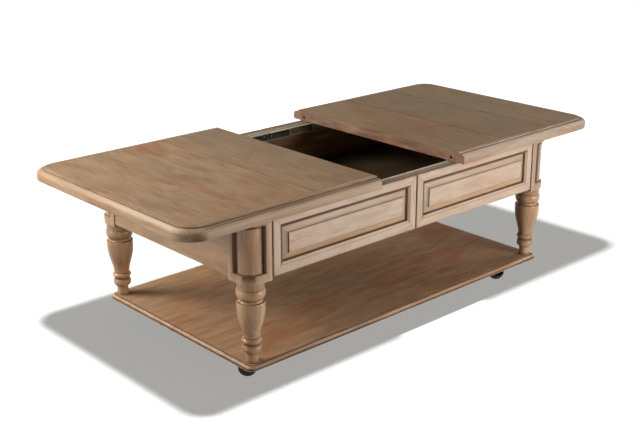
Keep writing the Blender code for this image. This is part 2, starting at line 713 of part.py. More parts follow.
def make_dowels(left_panel, left_parent, right_panel, right_parent, finish):
    """Two pegs in the left lid's meeting edge that enter the right lid when both are closed."""
    for face, side_y in SIDES_Y.items():
        place = {"y": side_y * DOWEL_Y, "z": DOWEL_Z}
        peg = cylinder_mesh(DOWEL_RADIUS, -DOWEL_SEATED, DOWEL_PROUD, BOSS_SEGMENTS, "X")
        part(f"alignment_dowel_{face}", moved(peg, **place), finish["dowel_wood"], left_parent)
        seat = cylinder_mesh(DOWEL_RADIUS + FIT, -DOWEL_SEATED - FIT, CUT_MARGIN, BOSS_SEGMENTS, "X")
        boolean(left_panel, cutter(f"dowel_seat_{face}", moved(seat, **place), left_parent), "DIFFERENCE")
        hole = cylinder_mesh(DOWEL_RADIUS + DOWEL_HOLE_CLEARANCE, -CUT_MARGIN, DOWEL_PROUD,
                             BOSS_SEGMENTS, "X")
        boolean(right_panel, cutter(f"dowel_hole_{face}", moved(hole, **place), right_parent), "DIFFERENCE")


def slide_section(side_y, points):
    """A slide's section, given as (distance from the apron, height from the slide's middle)."""
    return [(side_y * (APRON_INNER_Y - FIT - away), SLIDE_Z + height) for away, height in points]


def mirrored_section(upper):
    """A section whose lower half mirrors its upper half."""
    return upper + [(away, -height) for away, height in reversed(upper)]


def channel_section():
    half, wall, lip = SLIDE_HEIGHT / 2, CHANNEL_WALL, CHANNEL_LIP
    return mirrored_section([(0.0, half), (CHANNEL_DEPTH, half), (CHANNEL_DEPTH, half - wall - lip),
                             (CHANNEL_DEPTH - wall, half - wall - lip), (CHANNEL_DEPTH - wall, half - wall),
                             (wall, half - wall)])


def cage_section():
    start = CHANNEL_WALL + FIT
    middle = SLIDE_HEIGHT / 2 - CHANNEL_WALL - BALL_ROOM / 2
    high, low = middle + CAGE_WALL / 2, middle - CAGE_WALL / 2
    stop = CHANNEL_DEPTH - CHANNEL_WALL - FIT
    return mirrored_section([(start, high), (stop, high), (stop, low), (start + CAGE_WALL, low)])


def carriage_section():
    half = SLIDE_HEIGHT / 2 - CHANNEL_WALL - BALL_ROOM
    start = CHANNEL_WALL + CAGE_WALL + 2 * FIT
    wall = CARRIAGE_WALL
    return mirrored_section([(CARRIAGE_DEPTH, half), (start, half), (start, half - wall),
                             (CARRIAGE_DEPTH - wall, half - wall)])


def angle_section():
    near = CARRIAGE_DEPTH + FIT
    top = LID_BOTTOM - FIT - SLIDE_Z
    return [(near, top), (near + ANGLE_FLANGE, top), (near + ANGLE_FLANGE, top - ANGLE_WALL),
            (near + ANGLE_WALL, top - ANGLE_WALL), (near + ANGLE_WALL, top - ANGLE_DROP),
            (near, top - ANGLE_DROP)]


def slide_piece(name, section, side_x, side_y, inner, outer, finish, parent=None, rest_x=0.0):
    low, high = spread(side_x * (inner - rest_x), side_x * (outer - rest_x))
    mesh = prism_mesh(slide_section(side_y, section), low, high, "X")
    part(name, mesh, finish, parent)


def make_slide(face, end, lid_parent, cage_parent, finish):
    side_x, side_y = SIDES_X[end], SIDES_Y[face]
    tag = f"{face}_{end}"
    slide_piece(f"slide_channel_{tag}", channel_section(), side_x, side_y,
                CHANNEL_INNER_END, CHANNEL_OUTER_END, finish["slide_steel"])
    slide_piece(f"ball_cage_{tag}", cage_section(), side_x, side_y, CAGE_INNER_END,
                CAGE_OUTER_END, finish["cage_steel"], cage_parent, LID_REST_X)
    slide_piece(f"slide_carriage_{tag}", carriage_section(), side_x, side_y, CARRIAGE_INNER_END,
                CARRIAGE_OUTER_END, finish["slide_steel"], lid_parent, LID_REST_X)
    slide_piece(f"lid_angle_{tag}", angle_section(), side_x, side_y,
                CARRIAGE_INNER_END + ANGLE_END_SETBACK, CARRIAGE_OUTER_END - ANGLE_END_SETBACK,
                finish["cage_steel"], lid_parent, LID_REST_X)


def wheel_profile():
    """Both wheels and the axle between them, as (radius, distance along the axle) running down."""
    inner, outer = WHEEL_SPACING / 2 - WHEEL_WIDTH / 2, WHEEL_SPACING / 2 + WHEEL_WIDTH / 2
    rim = WHEEL_RADIUS - WHEEL_RIM
    edge = WHEEL_TREAD_ROUND
    dish = outer - WHEEL_DISH_DEPTH
    wheel = [(HUB_RADIUS, outer), (HUB_RADIUS, dish), (rim, dish), (rim, outer),
             (WHEEL_RADIUS - edge, outer), (WHEEL_RADIUS, outer - edge),
             (WHEEL_RADIUS, inner + edge), (WHEEL_RADIUS - edge, inner), (AXLE_RADIUS, inner)]
    other = [(radius, -along) for radius, along in reversed(wheel)]
    return [(0.0, outer)] + wheel + other + [(0.0, -outer)]


def web_outline():
    """The plate between the wheels, from round the axle up to the swivel boss."""
    top = PLATE_BOTTOM - FIT - FUSE
    around_axle = arc(CASTER_TRAIL, WHEEL_RADIUS, WEB_RADIUS, WEB_START_DEGREES, WEB_END_DEGREES,
                      WEB_STEPS)
    return around_axle + [(BOSS_RADIUS, top - BOSS_RADIUS), (BOSS_RADIUS - FUSE, top),
                          (FUSE - BOSS_RADIUS, top), (FUSE - BOSS_RADIUS, WHEEL_RADIUS + WEB_RADIUS)]


def hood_outline():
    near = WHEEL_RADIUS + HOOD_GAP
    far = near + HOOD_WALL
    outside = arc(CASTER_TRAIL, WHEEL_RADIUS, far, HOOD_START_DEGREES, HOOD_END_DEGREES, HOOD_STEPS)
    inside = arc(CASTER_TRAIL, WHEEL_RADIUS, near, HOOD_END_DEGREES, HOOD_START_DEGREES, HOOD_STEPS)
    return outside + inside


def make_caster(face, end, finish):
    side_x, side_y = SIDES_X[end], SIDES_Y[face]
    tag = f"{face}_{end}"
    place = (side_x * CASTER_X, side_y * CASTER_Y)
    half = PLATE_SIZE / 2
    outline = rounded_rectangle(half, half, PLATE_CORNER_RADIUS, PLATE_CORNER_STEPS)
    blank = prism_mesh(outline, PLATE_BOTTOM, CASTER_HEIGHT - FIT)
    plate = part(f"caster_plate_{tag}", moved(blank, *place), finish["caster_steel"])
    pin = cylinder_mesh(KINGPIN_RADIUS, PLATE_BOTTOM - KINGPIN_LENGTH,
                        PLATE_BOTTOM + PLATE_THICKNESS / 2, BOSS_SEGMENTS)
    boolean(plate, cutter(f"kingpin_{tag}", moved(pin, *place)), "UNION")

    swivel = empty(f"caster_swivel_{tag}", (*place, 0.0), math.radians(CASTER_REST_DEGREES[tag]))
    half_web, hood_reach = WEB_THICKNESS / 2, (WHEEL_SPACING + WHEEL_WIDTH) / 2
    boss_top = PLATE_BOTTOM - FIT
    housing = part(f"caster_housing_{tag}", prism_mesh(web_outline(), -half_web, half_web, "Y"),
                   finish["caster_plastic"], swivel)
    hood = prism_mesh(hood_outline(), -hood_reach, hood_reach, "Y")
    boolean(housing, cutter(f"hood_{tag}", hood, swivel), "UNION")
    boss = cylinder_mesh(BOSS_RADIUS, 2 * WHEEL_RADIUS + HOOD_GAP, boss_top, BOSS_SEGMENTS)
    boolean(housing, cutter(f"boss_{tag}", boss, swivel), "UNION")
    socket = cylinder_mesh(KINGPIN_RADIUS + FIT, boss_top - KINGPIN_LENGTH - KINGPIN_END_GAP,
                           boss_top + CUT_MARGIN, BOSS_SEGMENTS)
    boolean(housing, cutter(f"kingpin_socket_{tag}", socket, swivel), "DIFFERENCE")
    axle_hole = cylinder_mesh(AXLE_RADIUS + FIT, -WEB_THICKNESS, WEB_THICKNESS, WHEEL_SEGMENTS, "Y")
    moved(axle_hole, CASTER_TRAIL, 0.0, WHEEL_RADIUS)
    boolean(housing, cutter(f"axle_hole_{tag}", axle_hole, swivel), "DIFFERENCE")

    wheels = part(f"caster_wheels_{tag}", profile_mesh(wheel_profile()), finish["caster_plastic"], swivel)
    turn(wheels, WHEEL_SEGMENTS)
    wheels.location = (CASTER_TRAIL, 0.0, WHEEL_RADIUS)
    wheels.rotation_euler = (math.pi / 2, 0.0, 0.0)


def main():
    clear_scene()
    finish = finishes()
    make_shelf(finish)
    make_front_and_rear_aprons(finish)
    make_end_aprons(finish)
    make_well_floor(finish)
    for face in SIDES_Y:
        for end in SIDES_X:
            make_leg(face, end, finish)
            make_applied_panel(face, end, finish)
            make_caster(face, end, finish)
    lids = {end: make_lid(end, finish) for end in SIDES_X}
    make_dowels(*lids["left"], *lids["right"], finish)
    for end, side_x in SIDES_X.items():
        cage_parent = empty(f"{end}_ball_cage_slide", (side_x * LID_REST_X, 0.0, 0.0))
        for face in SIDES_Y:
            make_slide(face, end, lids[end][1], cage_parent, finish)


main()
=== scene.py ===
"""Finished surfaces of a sliding top coffee table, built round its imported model.

The file is laid out as an add-on: property groups hold the sizes and colours, an operator makes each
group of pieces, and a panel in the 3D view's sidebar lists them. Metres, +Z up, +X along the table.
"""
import json
import math
from functools import partial

import bmesh
import bpy
from mathutils import Matrix, Vector

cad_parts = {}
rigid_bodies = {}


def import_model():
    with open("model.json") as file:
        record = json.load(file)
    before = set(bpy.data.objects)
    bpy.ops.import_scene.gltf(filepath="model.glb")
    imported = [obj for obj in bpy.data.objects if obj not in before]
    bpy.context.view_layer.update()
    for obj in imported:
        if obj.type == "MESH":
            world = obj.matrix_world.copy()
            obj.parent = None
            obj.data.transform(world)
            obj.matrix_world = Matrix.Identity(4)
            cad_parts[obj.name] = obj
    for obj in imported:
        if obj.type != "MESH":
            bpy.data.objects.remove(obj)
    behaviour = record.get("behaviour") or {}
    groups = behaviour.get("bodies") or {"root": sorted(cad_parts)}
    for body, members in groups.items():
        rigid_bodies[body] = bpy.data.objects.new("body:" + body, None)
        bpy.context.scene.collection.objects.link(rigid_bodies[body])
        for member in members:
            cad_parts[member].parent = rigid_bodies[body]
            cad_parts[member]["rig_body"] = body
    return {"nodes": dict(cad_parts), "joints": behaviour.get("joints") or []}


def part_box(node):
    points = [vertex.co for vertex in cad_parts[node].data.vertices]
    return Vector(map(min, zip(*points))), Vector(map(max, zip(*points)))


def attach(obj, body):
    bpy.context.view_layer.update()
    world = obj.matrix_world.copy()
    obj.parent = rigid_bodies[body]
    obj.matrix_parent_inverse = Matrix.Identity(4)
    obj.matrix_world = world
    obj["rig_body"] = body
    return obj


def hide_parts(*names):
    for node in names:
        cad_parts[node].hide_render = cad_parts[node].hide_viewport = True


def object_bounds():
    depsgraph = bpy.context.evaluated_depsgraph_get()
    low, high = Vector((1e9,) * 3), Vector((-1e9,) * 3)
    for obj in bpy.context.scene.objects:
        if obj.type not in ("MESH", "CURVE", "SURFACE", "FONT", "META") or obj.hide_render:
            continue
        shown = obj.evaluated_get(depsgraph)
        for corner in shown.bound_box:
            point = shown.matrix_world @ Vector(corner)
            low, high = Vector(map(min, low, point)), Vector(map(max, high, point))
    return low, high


bl_info = {
    "name": "Sliding Top Coffee Table",
    "version": (1, 0, 0),
    "blender": (4, 5, 0),
    "location": "View3D > Sidebar > Table",
    "description": "Finishes the wood, slides and casters of a sliding top coffee table",
    "category": "Object",
}

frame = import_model()
CAD_LOW, CAD_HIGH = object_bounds()

SIDES_X = {"left": -1, "right": 1}
SIDES_Y = {"front": -1, "rear": 1}
CORNERS = [(face, end) for face in SIDES_Y for end in SIDES_X]
AXES = {"X": 0, "Y": 1, "Z": 2}
WHITE = (1.0, 1.0, 1.0, 1.0)

# Edges that turn further than this look sharp, and are the ones that are eased
SMOOTH_DEGREES = 32.0

# Gap at a joint, distance under which points are one, and how deep a screw head sits
SEAM = 0.00015
WELD = 0.000001
SEAT = 0.00005

# How far a cutting shape runs past the surface that it cuts
CLEAR = 0.01

# Attributes of the meshes, which the finishes and node trees read
GLAZE = "glaze"
BOARD = "board"
SHADE = "shade"
TURNED_RADIUS = "turned_radius"
FACING = "facing"


# Ways to write a property

def property_of(kind, **settings):
    """A short way to write properties of one kind."""
    return lambda name, description, default: kind(
        name=name, description=description, default=default, **settings)


length = property_of(bpy.props.FloatProperty, precision=4, unit="LENGTH")
share = property_of(bpy.props.FloatProperty, min=0.0, max=1.0, subtype="FACTOR")
number = property_of(bpy.props.FloatProperty)
power = property_of(bpy.props.FloatProperty, min=0.0, unit="POWER")
focal_length = property_of(bpy.props.FloatProperty, min=1.0, unit="CAMERA")
count = property_of(bpy.props.IntProperty, min=1)
place = property_of(bpy.props.FloatVectorProperty, subtype="TRANSLATION", unit="LENGTH")
direction = property_of(bpy.props.FloatVectorProperty, subtype="DIRECTION")
linear_colour = property_of(bpy.props.FloatVectorProperty, subtype="COLOR", min=0.0, max=1.0)


def group(name, description, kind):
    return bpy.props.PointerProperty(name=name, description=description, type=kind)


def tone(name, description, *levels):
    """A colour given as it looks on a screen, from 0 to 255, kept as a linear one."""
    def linear(level):
        level /= 255
        return level / 12.92 if level <= 0.04045 else ((level + 0.055) / 1.055) ** 2.4
    return linear_colour(name, description, tuple(linear(level) for level in levels))


class LidLooks(bpy.types.PropertyGroup):
    boards: count("Boards", "Boards in each lid", 3)
    groove_width: length("Groove width", "V groove between two boards, across", 0.0036)
    groove_depth: length("Groove depth", "V groove between two boards, down", 0.0022)
    strip_width: length("Strip width", "Moulded strip round the boards", 0.034)
    corner_radius: length("Corner radius", "Outline at the outer corners", 0.066)
    step_inset: length("Step inset", "From the outer edge to the step in the top", 0.019)
    step_depth: length("Step depth", "Drop from the top to the round", 0.004)
    round_across: length("Round across", "Flattened round below the step, inwards", 0.017)
    round_down: length("Round down", "Flattened round below the step, downwards", 0.0105)
    foot_ease: length("Foot ease", "Rounding along the lower edge", 0.0025)
    edge_ease: length("Edge ease", "Rounding of the meeting edge", 0.0012)
    dowel_radius: length("Dowel radius", "Pegs in the meeting edge", 0.005)
    dowel_room: length("Dowel room", "Clearance round a peg in its hole", 0.0008)


class PanelLooks(bpy.types.PropertyGroup):
    frame_width: length("Frame width", "Mitred frame members", 0.031)
    frame_ease: length("Frame ease", "Rounding of the frame's outer edge", 0.0015)
    sticking_width: length("Sticking width", "Moulded inner edge of the frame", 0.008)
    sticking_fillet: length("Sticking fillet", "Small drop at the moulding's start", 0.0006)
    sticking_depth: length("Sticking depth", "Full drop of the moulding", 0.0035)
    bevel_width: length("Bevel width", "Slope round the raised field", 0.019)
    bevel_low: length("Bevel low", "Height of the slope at the frame", 0.002)
    bevel_high: length("Bevel high", "Height of the slope at the field", 0.0095)
    bevel_sag: length("Bevel sag", "Hollow of the slope", 0.0007)
    field_height: length("Field height", "Height of the raised field", 0.0117)


class LegLooks(bpy.types.PropertyGroup):
    segments: count("Segments", "Sides of a turned leg", 72)
    post_size: length("Post size", "Square post above the turning", 0.079)
    post_height: length("Post height", "Square post above the turning", 0.164)
    stile: length("Stile", "Post face beside the corner column", 0.019)
    notch_floor: length("Notch floor", "Block below the column", 0.023)
    notch_ceiling: length("Notch ceiling", "Block above the column", 0.013)
    column_radius: length("Column radius", "Corner column", 0.034)
    post_ease: length("Post ease", "Rounding of the post's edges", 0.0009)
    tongue_height: length("Tongue height", "Flare under the post", 0.010)
    neck_height: length("Neck height", "Plain neck above the bead", 0.0085)
    neck_radius: length("Neck radius", "Plain neck above the bead", 0.0350)
    bead_height: length("Bead height", "Large bead", 0.025)
    bead_radius: length("Bead radius", "Large bead", 0.0385)
    cove_height: length("Cove height", "Hollow under the bead", 0.011)
    cove_depth: length("Cove depth", "Hollow under the bead", 0.003)
    cove_foot: length("Cove foot", "Radius at the foot of the hollow", 0.0320)
    shoulder_height: length("Shoulder height", "Straight rim of the vase", 0.004)
    shoulder_radius: length("Shoulder radius", "Straight rim of the vase", 0.0376)
    waist_radius: length("Waist radius", "Foot of the vase", 0.0220)
    vase_sharpness: number("Vase sharpness", "How late the vase tapers", 1.38)
    ring_height: length("Ring height", "Ring below the vase", 0.0145)
    ring_radius: length("Ring radius", "Ring below the vase", 0.0265)
    groove_height: length("Groove height", "Groove below the ring", 0.005)
    groove_radius: length("Groove radius", "Groove below the ring", 0.0213)
    cup_height: length("Cup height", "Cup above the ankle", 0.0225)
    cup_brow: length("Cup brow", "Upper part of the cup", 0.010)
    cup_radius: length("Cup radius", "Cup above the ankle", 0.0253)
    ankle_height: length("Ankle height", "Slim ankle above the shelf", 0.028)
    ankle_radius: length("Ankle radius", "Slim ankle above the shelf", 0.0160)
    foot_radius: length("Foot radius", "Where the leg meets the shelf", 0.0168)


class ShelfLooks(bpy.types.PropertyGroup):
    corner_radius: length("Corner radius", "Outline at the corners", 0.020)
    step_inset: length("Step inset", "From the edge to the step in the top", 0.009)
    step_depth: length("Step depth", "Drop from the top to the round", 0.0015)
    bead_height: length("Bead height", "Flat bead at the foot of the edge", 0.003)
    quirk: length("Quirk", "Small groove above the bead", 0.0013)
    ease: length("Ease", "Rounding along the lower edge", 0.0015)


class SlideLooks(bpy.types.PropertyGroup):
    ball_radius: length("Ball radius", "Bearing balls in the cages", 0.0019)
    ball_pitch: length("Ball pitch", "Distance between balls", 0.012)
    ball_end: length("Ball end", "From the cage's end to its first ball", 0.008)
    steel_ease: length("Steel ease", "Rounding of the steel's edges", 0.00025)
    hole_radius: length("Hole radius", "Hole near the end of a ball cage", 0.0036)
    hole_end: length("Hole end", "From the cage's end to its hole", 0.016)
    screw_radius: length("Screw radius", "Head of a fixing screw", 0.0035)
    screw_height: length("Screw height", "Head of a fixing screw", 0.0016)
    flush_height: length("Flush height", "Head of a countersunk screw in a channel", 0.00025)
    screw_end: length("Screw end", "From a rail's end to its first screw", 0.013)
    screw_pitch: length("Screw pitch", "Between the screws of a rail", 0.128)


class CasterLooks(bpy.types.PropertyGroup):
    segments: count("Segments", "Sides of a wheel", 64)
    wheel_radius: length("Wheel radius", "Twin wheels", 0.025)
    wheel_width: length("Wheel width", "One wheel of the pair", 0.0135)
    wheel_spacing: length("Wheel spacing", "Between the wheels' middles", 0.027)
    tread_round: length("Tread round", "Rounding of the tread's edges", 0.002)
    dish_depth: length("Dish depth", "Hollow in the wheel's face", 0.0015)
    rim: length("Rim", "Raised rim of the wheel's face", 0.006)
    hub_radius: length("Hub radius", "Raised hub of the wheel's face", 0.009)
    axle_radius: length("Axle radius", "Between the wheels", 0.004)
    housing_ease: length("Housing ease", "Rounding of the housing's edges", 0.0006)
    screw_inset: length("Screw inset", "From the plate's edge to its screws", 0.006)


# Where each wood is used, and its three tones
WOODS = {
    "lid": ("the lids", (185, 151, 116), (173, 139, 104), (154, 122, 92)),
    "strip": ("the lids' edges", (188, 158, 128), (176, 146, 116), (157, 128, 100)),
    # A paler copy of the strip and post woods for the right end, partly painted light where the lamps
    # fall on that side
    "pale": ("the right lid's edges", (190, 166, 143), (176, 151, 128), (154, 129, 106)),
    # The panels' tone is paler than the lids', partly a painted sheen from the light on the front faces
    "case": ("the panels", (204, 179, 155), (195, 168, 143), (181, 153, 127)),
    # A warmer copy of the panel wood for the down-facing slopes: painted warm light bounced from the
    # shelf, partly glaze
    "slope": ("the slopes under the fields", (206, 170, 134), (196, 158, 121), (180, 142, 105)),
    "leg": ("the legs and ends", (199, 159, 118), (179, 140, 100), (149, 112, 76)),
    "post": ("the posts and columns", (203, 169, 136), (186, 151, 118), (163, 129, 98)),
    "shelf": ("the shelf", (196, 154, 114), (178, 136, 98), (156, 116, 82)),
    "rim": ("the shelf's edge", (198, 165, 133), (181, 148, 116), (148, 116, 88)),
    "edge": ("the meeting edges", (160, 122, 92), (130, 94, 68), (92, 61, 42)),
    # The well's walls are toned paler to lift their shade, which is painted light, and its floor darker,
    # which is painted shade
    "well": ("the well's walls", (205, 165, 120), (180, 140, 98), (150, 112, 76)),
    "base": ("the well's floor", (96, 72, 46), (82, 61, 38), (66, 48, 29)),
    "rail": ("the aprons' tops", (168, 150, 124), (152, 133, 107), (130, 111, 87)),
    # A painted highlight: the pale line along the aprons' inner edges
    "worn": ("the aprons' inner edges", (232, 218, 198), (224, 208, 187), (204, 186, 162)),
    "dowel": ("the pegs", (214, 182, 138), (198, 162, 116), (168, 130, 88)),
}
LEVELS = {"light": "Pale grain", "middle": "Stain", "dark": "Dark grain"}


def with_woods(group):
    """Give a property group the three tones of each wood."""
    for kind, (where, *tones) in WOODS.items():
        for (level, use), colour in zip(LEVELS.items(), tones):
            group.__annotations__[f"{kind}_{level}"] = tone(
                f"{kind} {level}".capitalize(), f"{use} of {where}", *colour)
    return group


@with_woods
class FinishLooks(bpy.types.PropertyGroup):
    warm: tone("Warm tint", "Reddish clouds in the stain", 178, 126, 92)
    cool: tone("Cool tint", "Grey clouds in the stain", 140, 124, 102)
    glaze: tone("Glaze", "Dark glaze left in grooves and creases", 82, 51, 28)
    # Pale rounds: partly rubbed wear, partly a painted highlight where the rounds catch the light
    rubbed: tone("Rubbed", "Pale wood where a rounded edge is rubbed", 226, 200, 172)
    # Grey brown for painted shade on the panel slopes and the right lid's boards, partly board tone
    shade: tone("Shade", "Grey brown that darker boards lean to", 100, 98, 80)
    # The rails' dark tone is partly grease and partly painted shade inside the channels; the flanges'
    # pale tone is a painted highlight
    rail_steel: tone("Rail steel", "Fixed and moving rails", 104, 93, 76)
    flange_steel: tone("Flange steel", "Bright flanges of the fixed rails", 240, 230, 204)
    cage_steel: tone("Cage steel", "Ball cages and angles", 222, 206, 176)
    ball_steel: tone("Ball steel", "Bearing balls and screws", 215, 215, 213)
    plate_steel: tone("Plate steel", "Caster plates", 150, 149, 146)
    tyre: tone("Tyre", "Caster wheels", 34, 33, 33)
    housing: tone("Housing", "Caster housings", 26, 25, 26)


class StageLooks(bpy.types.PropertyGroup):
    camera_place: place("Camera place", "Where the camera stands", (-2.15329, -2.27970, 1.36801))
    camera_forward: direction("Camera forward", "The way the camera looks", (0.64009, 0.69478, -0.32798))
    lens: focal_length("Lens", "Focal length of the camera", 61.61)
    floor_size: length("Floor size", "Side of the floor", 60.0)
    floor_near: length("Floor near", "How far the floor keeps a shadow", 1.18)
    floor_far: length("Floor far", "Where the floor is white by itself", 1.6)
    floor_lift: share("Floor lift", "Light that the floor shows in its shadow", 0.36)
    floor_tone: share("Floor tone", "How much light the floor shows", 0.62)
    floor_bounce: share("Floor bounce", "How much light the floor gives back to the table", 0.11)
    floor_watts: power("Floor watts", "Lamp above that casts the floor's shadow", 235.0)
    ceiling_rise: share("Ceiling rise", "How far above the horizon the surround turns dark", 0.22)
    ceiling_tone: share("Ceiling tone", "How light the surround is above", 0.10)
    sky: share("Sky", "Even light from all round", 0.03)
    overhead_watts: power("Overhead watts", "Lamp above", 15.4)
    low_watts: power("Low watts", "Small soft box low in front", 27.2)
    high_front_watts: power("High front watts", "Soft box above and before the table", 6.7)
    near_watts: power("Near watts", "Small soft box before the left end", 2.4)
    left_watts: power("Left watts", "Small soft box beyond the left end", 3.3)
    rear_left_watts: power("Rear left watts", "Soft box behind the left end", 81.6)
    high_left_watts: power("High left watts", "Small soft box above and behind the left end", 19.7)
    low_left_watts: power("Low left watts", "Small soft box low beyond the left end", 13.1)
    right_watts: power("Right watts", "Soft box beyond the right end", 36.0)


class TableLooks(bpy.types.PropertyGroup):
    lid: group("Lids", "Sizes of the lids", LidLooks)
    panel: group("Panels", "Sizes of the frames and raised panels", PanelLooks)
    leg: group("Legs", "Sizes of the legs, posts and columns", LegLooks)
    shelf: group("Shelf", "Sizes of the shelf's edge", ShelfLooks)
    slide: group("Slides", "Sizes of the balls, holes and screws", SlideLooks)
    caster: group("Casters", "Sizes of the wheels and their housings", CasterLooks)
    finish: group("Finishes", "Colours of the wood, steel and plastic", FinishLooks)
    stage: group("Stage", "Camera, floor and lamps", StageLooks)


def looks():
    return bpy.context.scene.coffee_table


# Node trees

class Nodes:
    """A node tree, built one node at a time."""

    def __init__(self, tree):
        self.tree = tree

    def node(self, kind, inputs=(), **settings):
        made = self.tree.nodes.new(kind)
        for key, value in settings.items():
            setattr(made, key, value)
        for key, value in dict(inputs).items():
            self.give(made.inputs[key], value)
        return made

    def out(self, kind, inputs=(), **settings):
        """The first output of a new node."""
        return self.node(kind, inputs, **settings).outputs[0]

    def give(self, socket, value):
        if isinstance(value, bpy.types.NodeSocket):
            self.tree.links.new(value, socket)
        else:
            socket.default_value = value

    def spread(self, value, low, high, to_low=0.0, to_high=1.0):
        """A value from low to high brought to another range."""
        return self.out("ShaderNodeMapRange", {
            "Value": value, "From Min": low, "From Max": high, "To Min": to_low, "To Max": to_high})

    def maths(self, operation, first, second):
        return self.out("ShaderNodeMath", {0: first, 1: second}, operation=operation)

    def either(self, factor, first, second):
        """The first of two shaders where the factor is 0, and the second where it is 1."""
        return self.out("ShaderNodeMixShader", {0: factor, 1: first, 2: second})

    def seen_directly(self):
        """1 for rays from the camera, or by way of gloss or glass, and 0 for other light."""
        path = self.node("ShaderNodeLightPath").outputs
        seen = path["Is Camera Ray"]
        for way in ("Is Glossy Ray", "Is Transmission Ray"):
            seen = self.maths("MAXIMUM", seen, path[way])
        return seen


class Growth(Nodes):
    """A Geometry Nodes tree that takes points, some values and a finish."""

    def __init__(self, name, **kinds):
        super().__init__(bpy.data.node_groups.new(name, "GeometryNodeTree"))
        self.tree.is_modifier = True
        sockets = self.tree.interface
        for socket, kind in {"Points": "Geometry", **kinds, "Finish": "Material"}.items():
            sockets.new_socket(socket, in_out="INPUT", socket_type=f"NodeSocket{kind}")
        sockets.new_socket("Grown", in_out="OUTPUT", socket_type="NodeSocketGeometry")
        self.given = self.node("NodeGroupInput").outputs

    def attribute(self, name, kind):
        named = self.node("GeometryNodeInputNamedAttribute", {"Name": name}, data_type=kind)
        return named.outputs["Attribute"]

    def on_points(self, points, instance, **inputs):
        return self.out("GeometryNodeInstanceOnPoints", {
            "Points": points, "Instance": instance, **inputs})

    def close(self, geometry):
        """End the tree with plain geometry in the finish that was given."""
        plain = self.out("GeometryNodeRealizeInstances", {0: geometry})
        finished = self.out("GeometryNodeSetMaterial", {
            "Geometry": plain, "Material": self.given["Finish"]})
        self.node("NodeGroupOutput", {0: finished})
        return self.tree


class Shading(Nodes):
    """A material's node tree."""

    def __init__(self, name):
        self.material = bpy.data.materials.new(name)
        self.material.use_nodes = True
        super().__init__(self.material.node_tree)
        self.shader = self.tree.nodes["Principled BSDF"]

    def where(self):
        return self.node("ShaderNodeTexCoord").outputs["Object"]

    def attribute(self, name):
        return self.node("ShaderNodeAttribute", attribute_name=name).outputs["Fac"]

    def noise(self, vector, scale, detail, roughness=0.5, distortion=0.0):
        texture = self.node("ShaderNodeTexNoise", {
            "Vector": vector, "Scale": scale, "Detail": detail, "Roughness": roughness,
            "Distortion": distortion})
        return texture.outputs["Fac"]

    def grain(self, axis, sizes, shift, detail, roughness=0.5, distortion=0.0):
        """Noise drawn out along an axis, where the shift cuts each board from another place."""
        along, across = sizes
        scale = [across] * 3
        scale[AXES[axis]] = along
        mapped = self.out("ShaderNodeMapping", {"Vector": self.where(), "Scale": scale})
        moved = self.out("ShaderNodeVectorMath", {0: mapped, 1: shift}, operation="ADD")
        return self.noise(moved, 1.0, detail, roughness, distortion)

    def mix(self, factor, first, second, blend="MIX"):
        made = self.node("ShaderNodeMix", {"Factor": factor}, data_type="RGBA", blend_type=blend)
        self.give(made.inputs[6], first)
        self.give(made.inputs[7], second)
        return made.outputs[2]

    def ramp(self, value, stops):
        made = self.node("ShaderNodeValToRGB", {"Fac": value})
        elements = made.color_ramp.elements
        elements[0].position, elements[0].color = stops[0]
        elements[1].position, elements[1].color = stops[-1]
        for position, colour in stops[1:-1]:
            elements.new(position).color = colour
        return made.outputs["Color"]

    def bump(self, height, strength, depth):
        self.finish(normal=self.out("ShaderNodeBump", {
            "Height": height, "Strength": strength, "Distance": depth}))

    def finish(self, **values):
        """Set the shader's own sockets, such as roughness or metallic."""
        for key, value in values.items():
            self.give(self.shader.inputs[key.replace("_", " ").title()], value)
        return self.material


# Materials

# How grain is scaled along and across the wood or steel, in repeats a metre
FIGURE = (4.0, 42.0)
LID_FIGURE = (9.0, 46.0)
PANEL_FIGURE = (12.0, 60.0)
FIBRES = (16.0, 520.0)
FLECKS = (10.0, 170.0)
CLOUDS = (3.5, 7.0)
DRAWING_MARKS = (30.0, 1400.0)
DULL_PATCHES = (25.0, 60.0)

# How far the grain moves from one board to the next
BOARD_SHIFT = (13.7, 7.9, 5.3)
NO_SHIFT = (0.0, 0.0, 0.0)


def opaque(colour):
    return (*colour, 1.0)


def scaled(colour, factor):
    return opaque(level * factor for level in colour[:3])


def tones_of(kind):
    finish = looks().finish
    return [opaque(getattr(finish, f"{kind}_{level}")) for level in LEVELS]


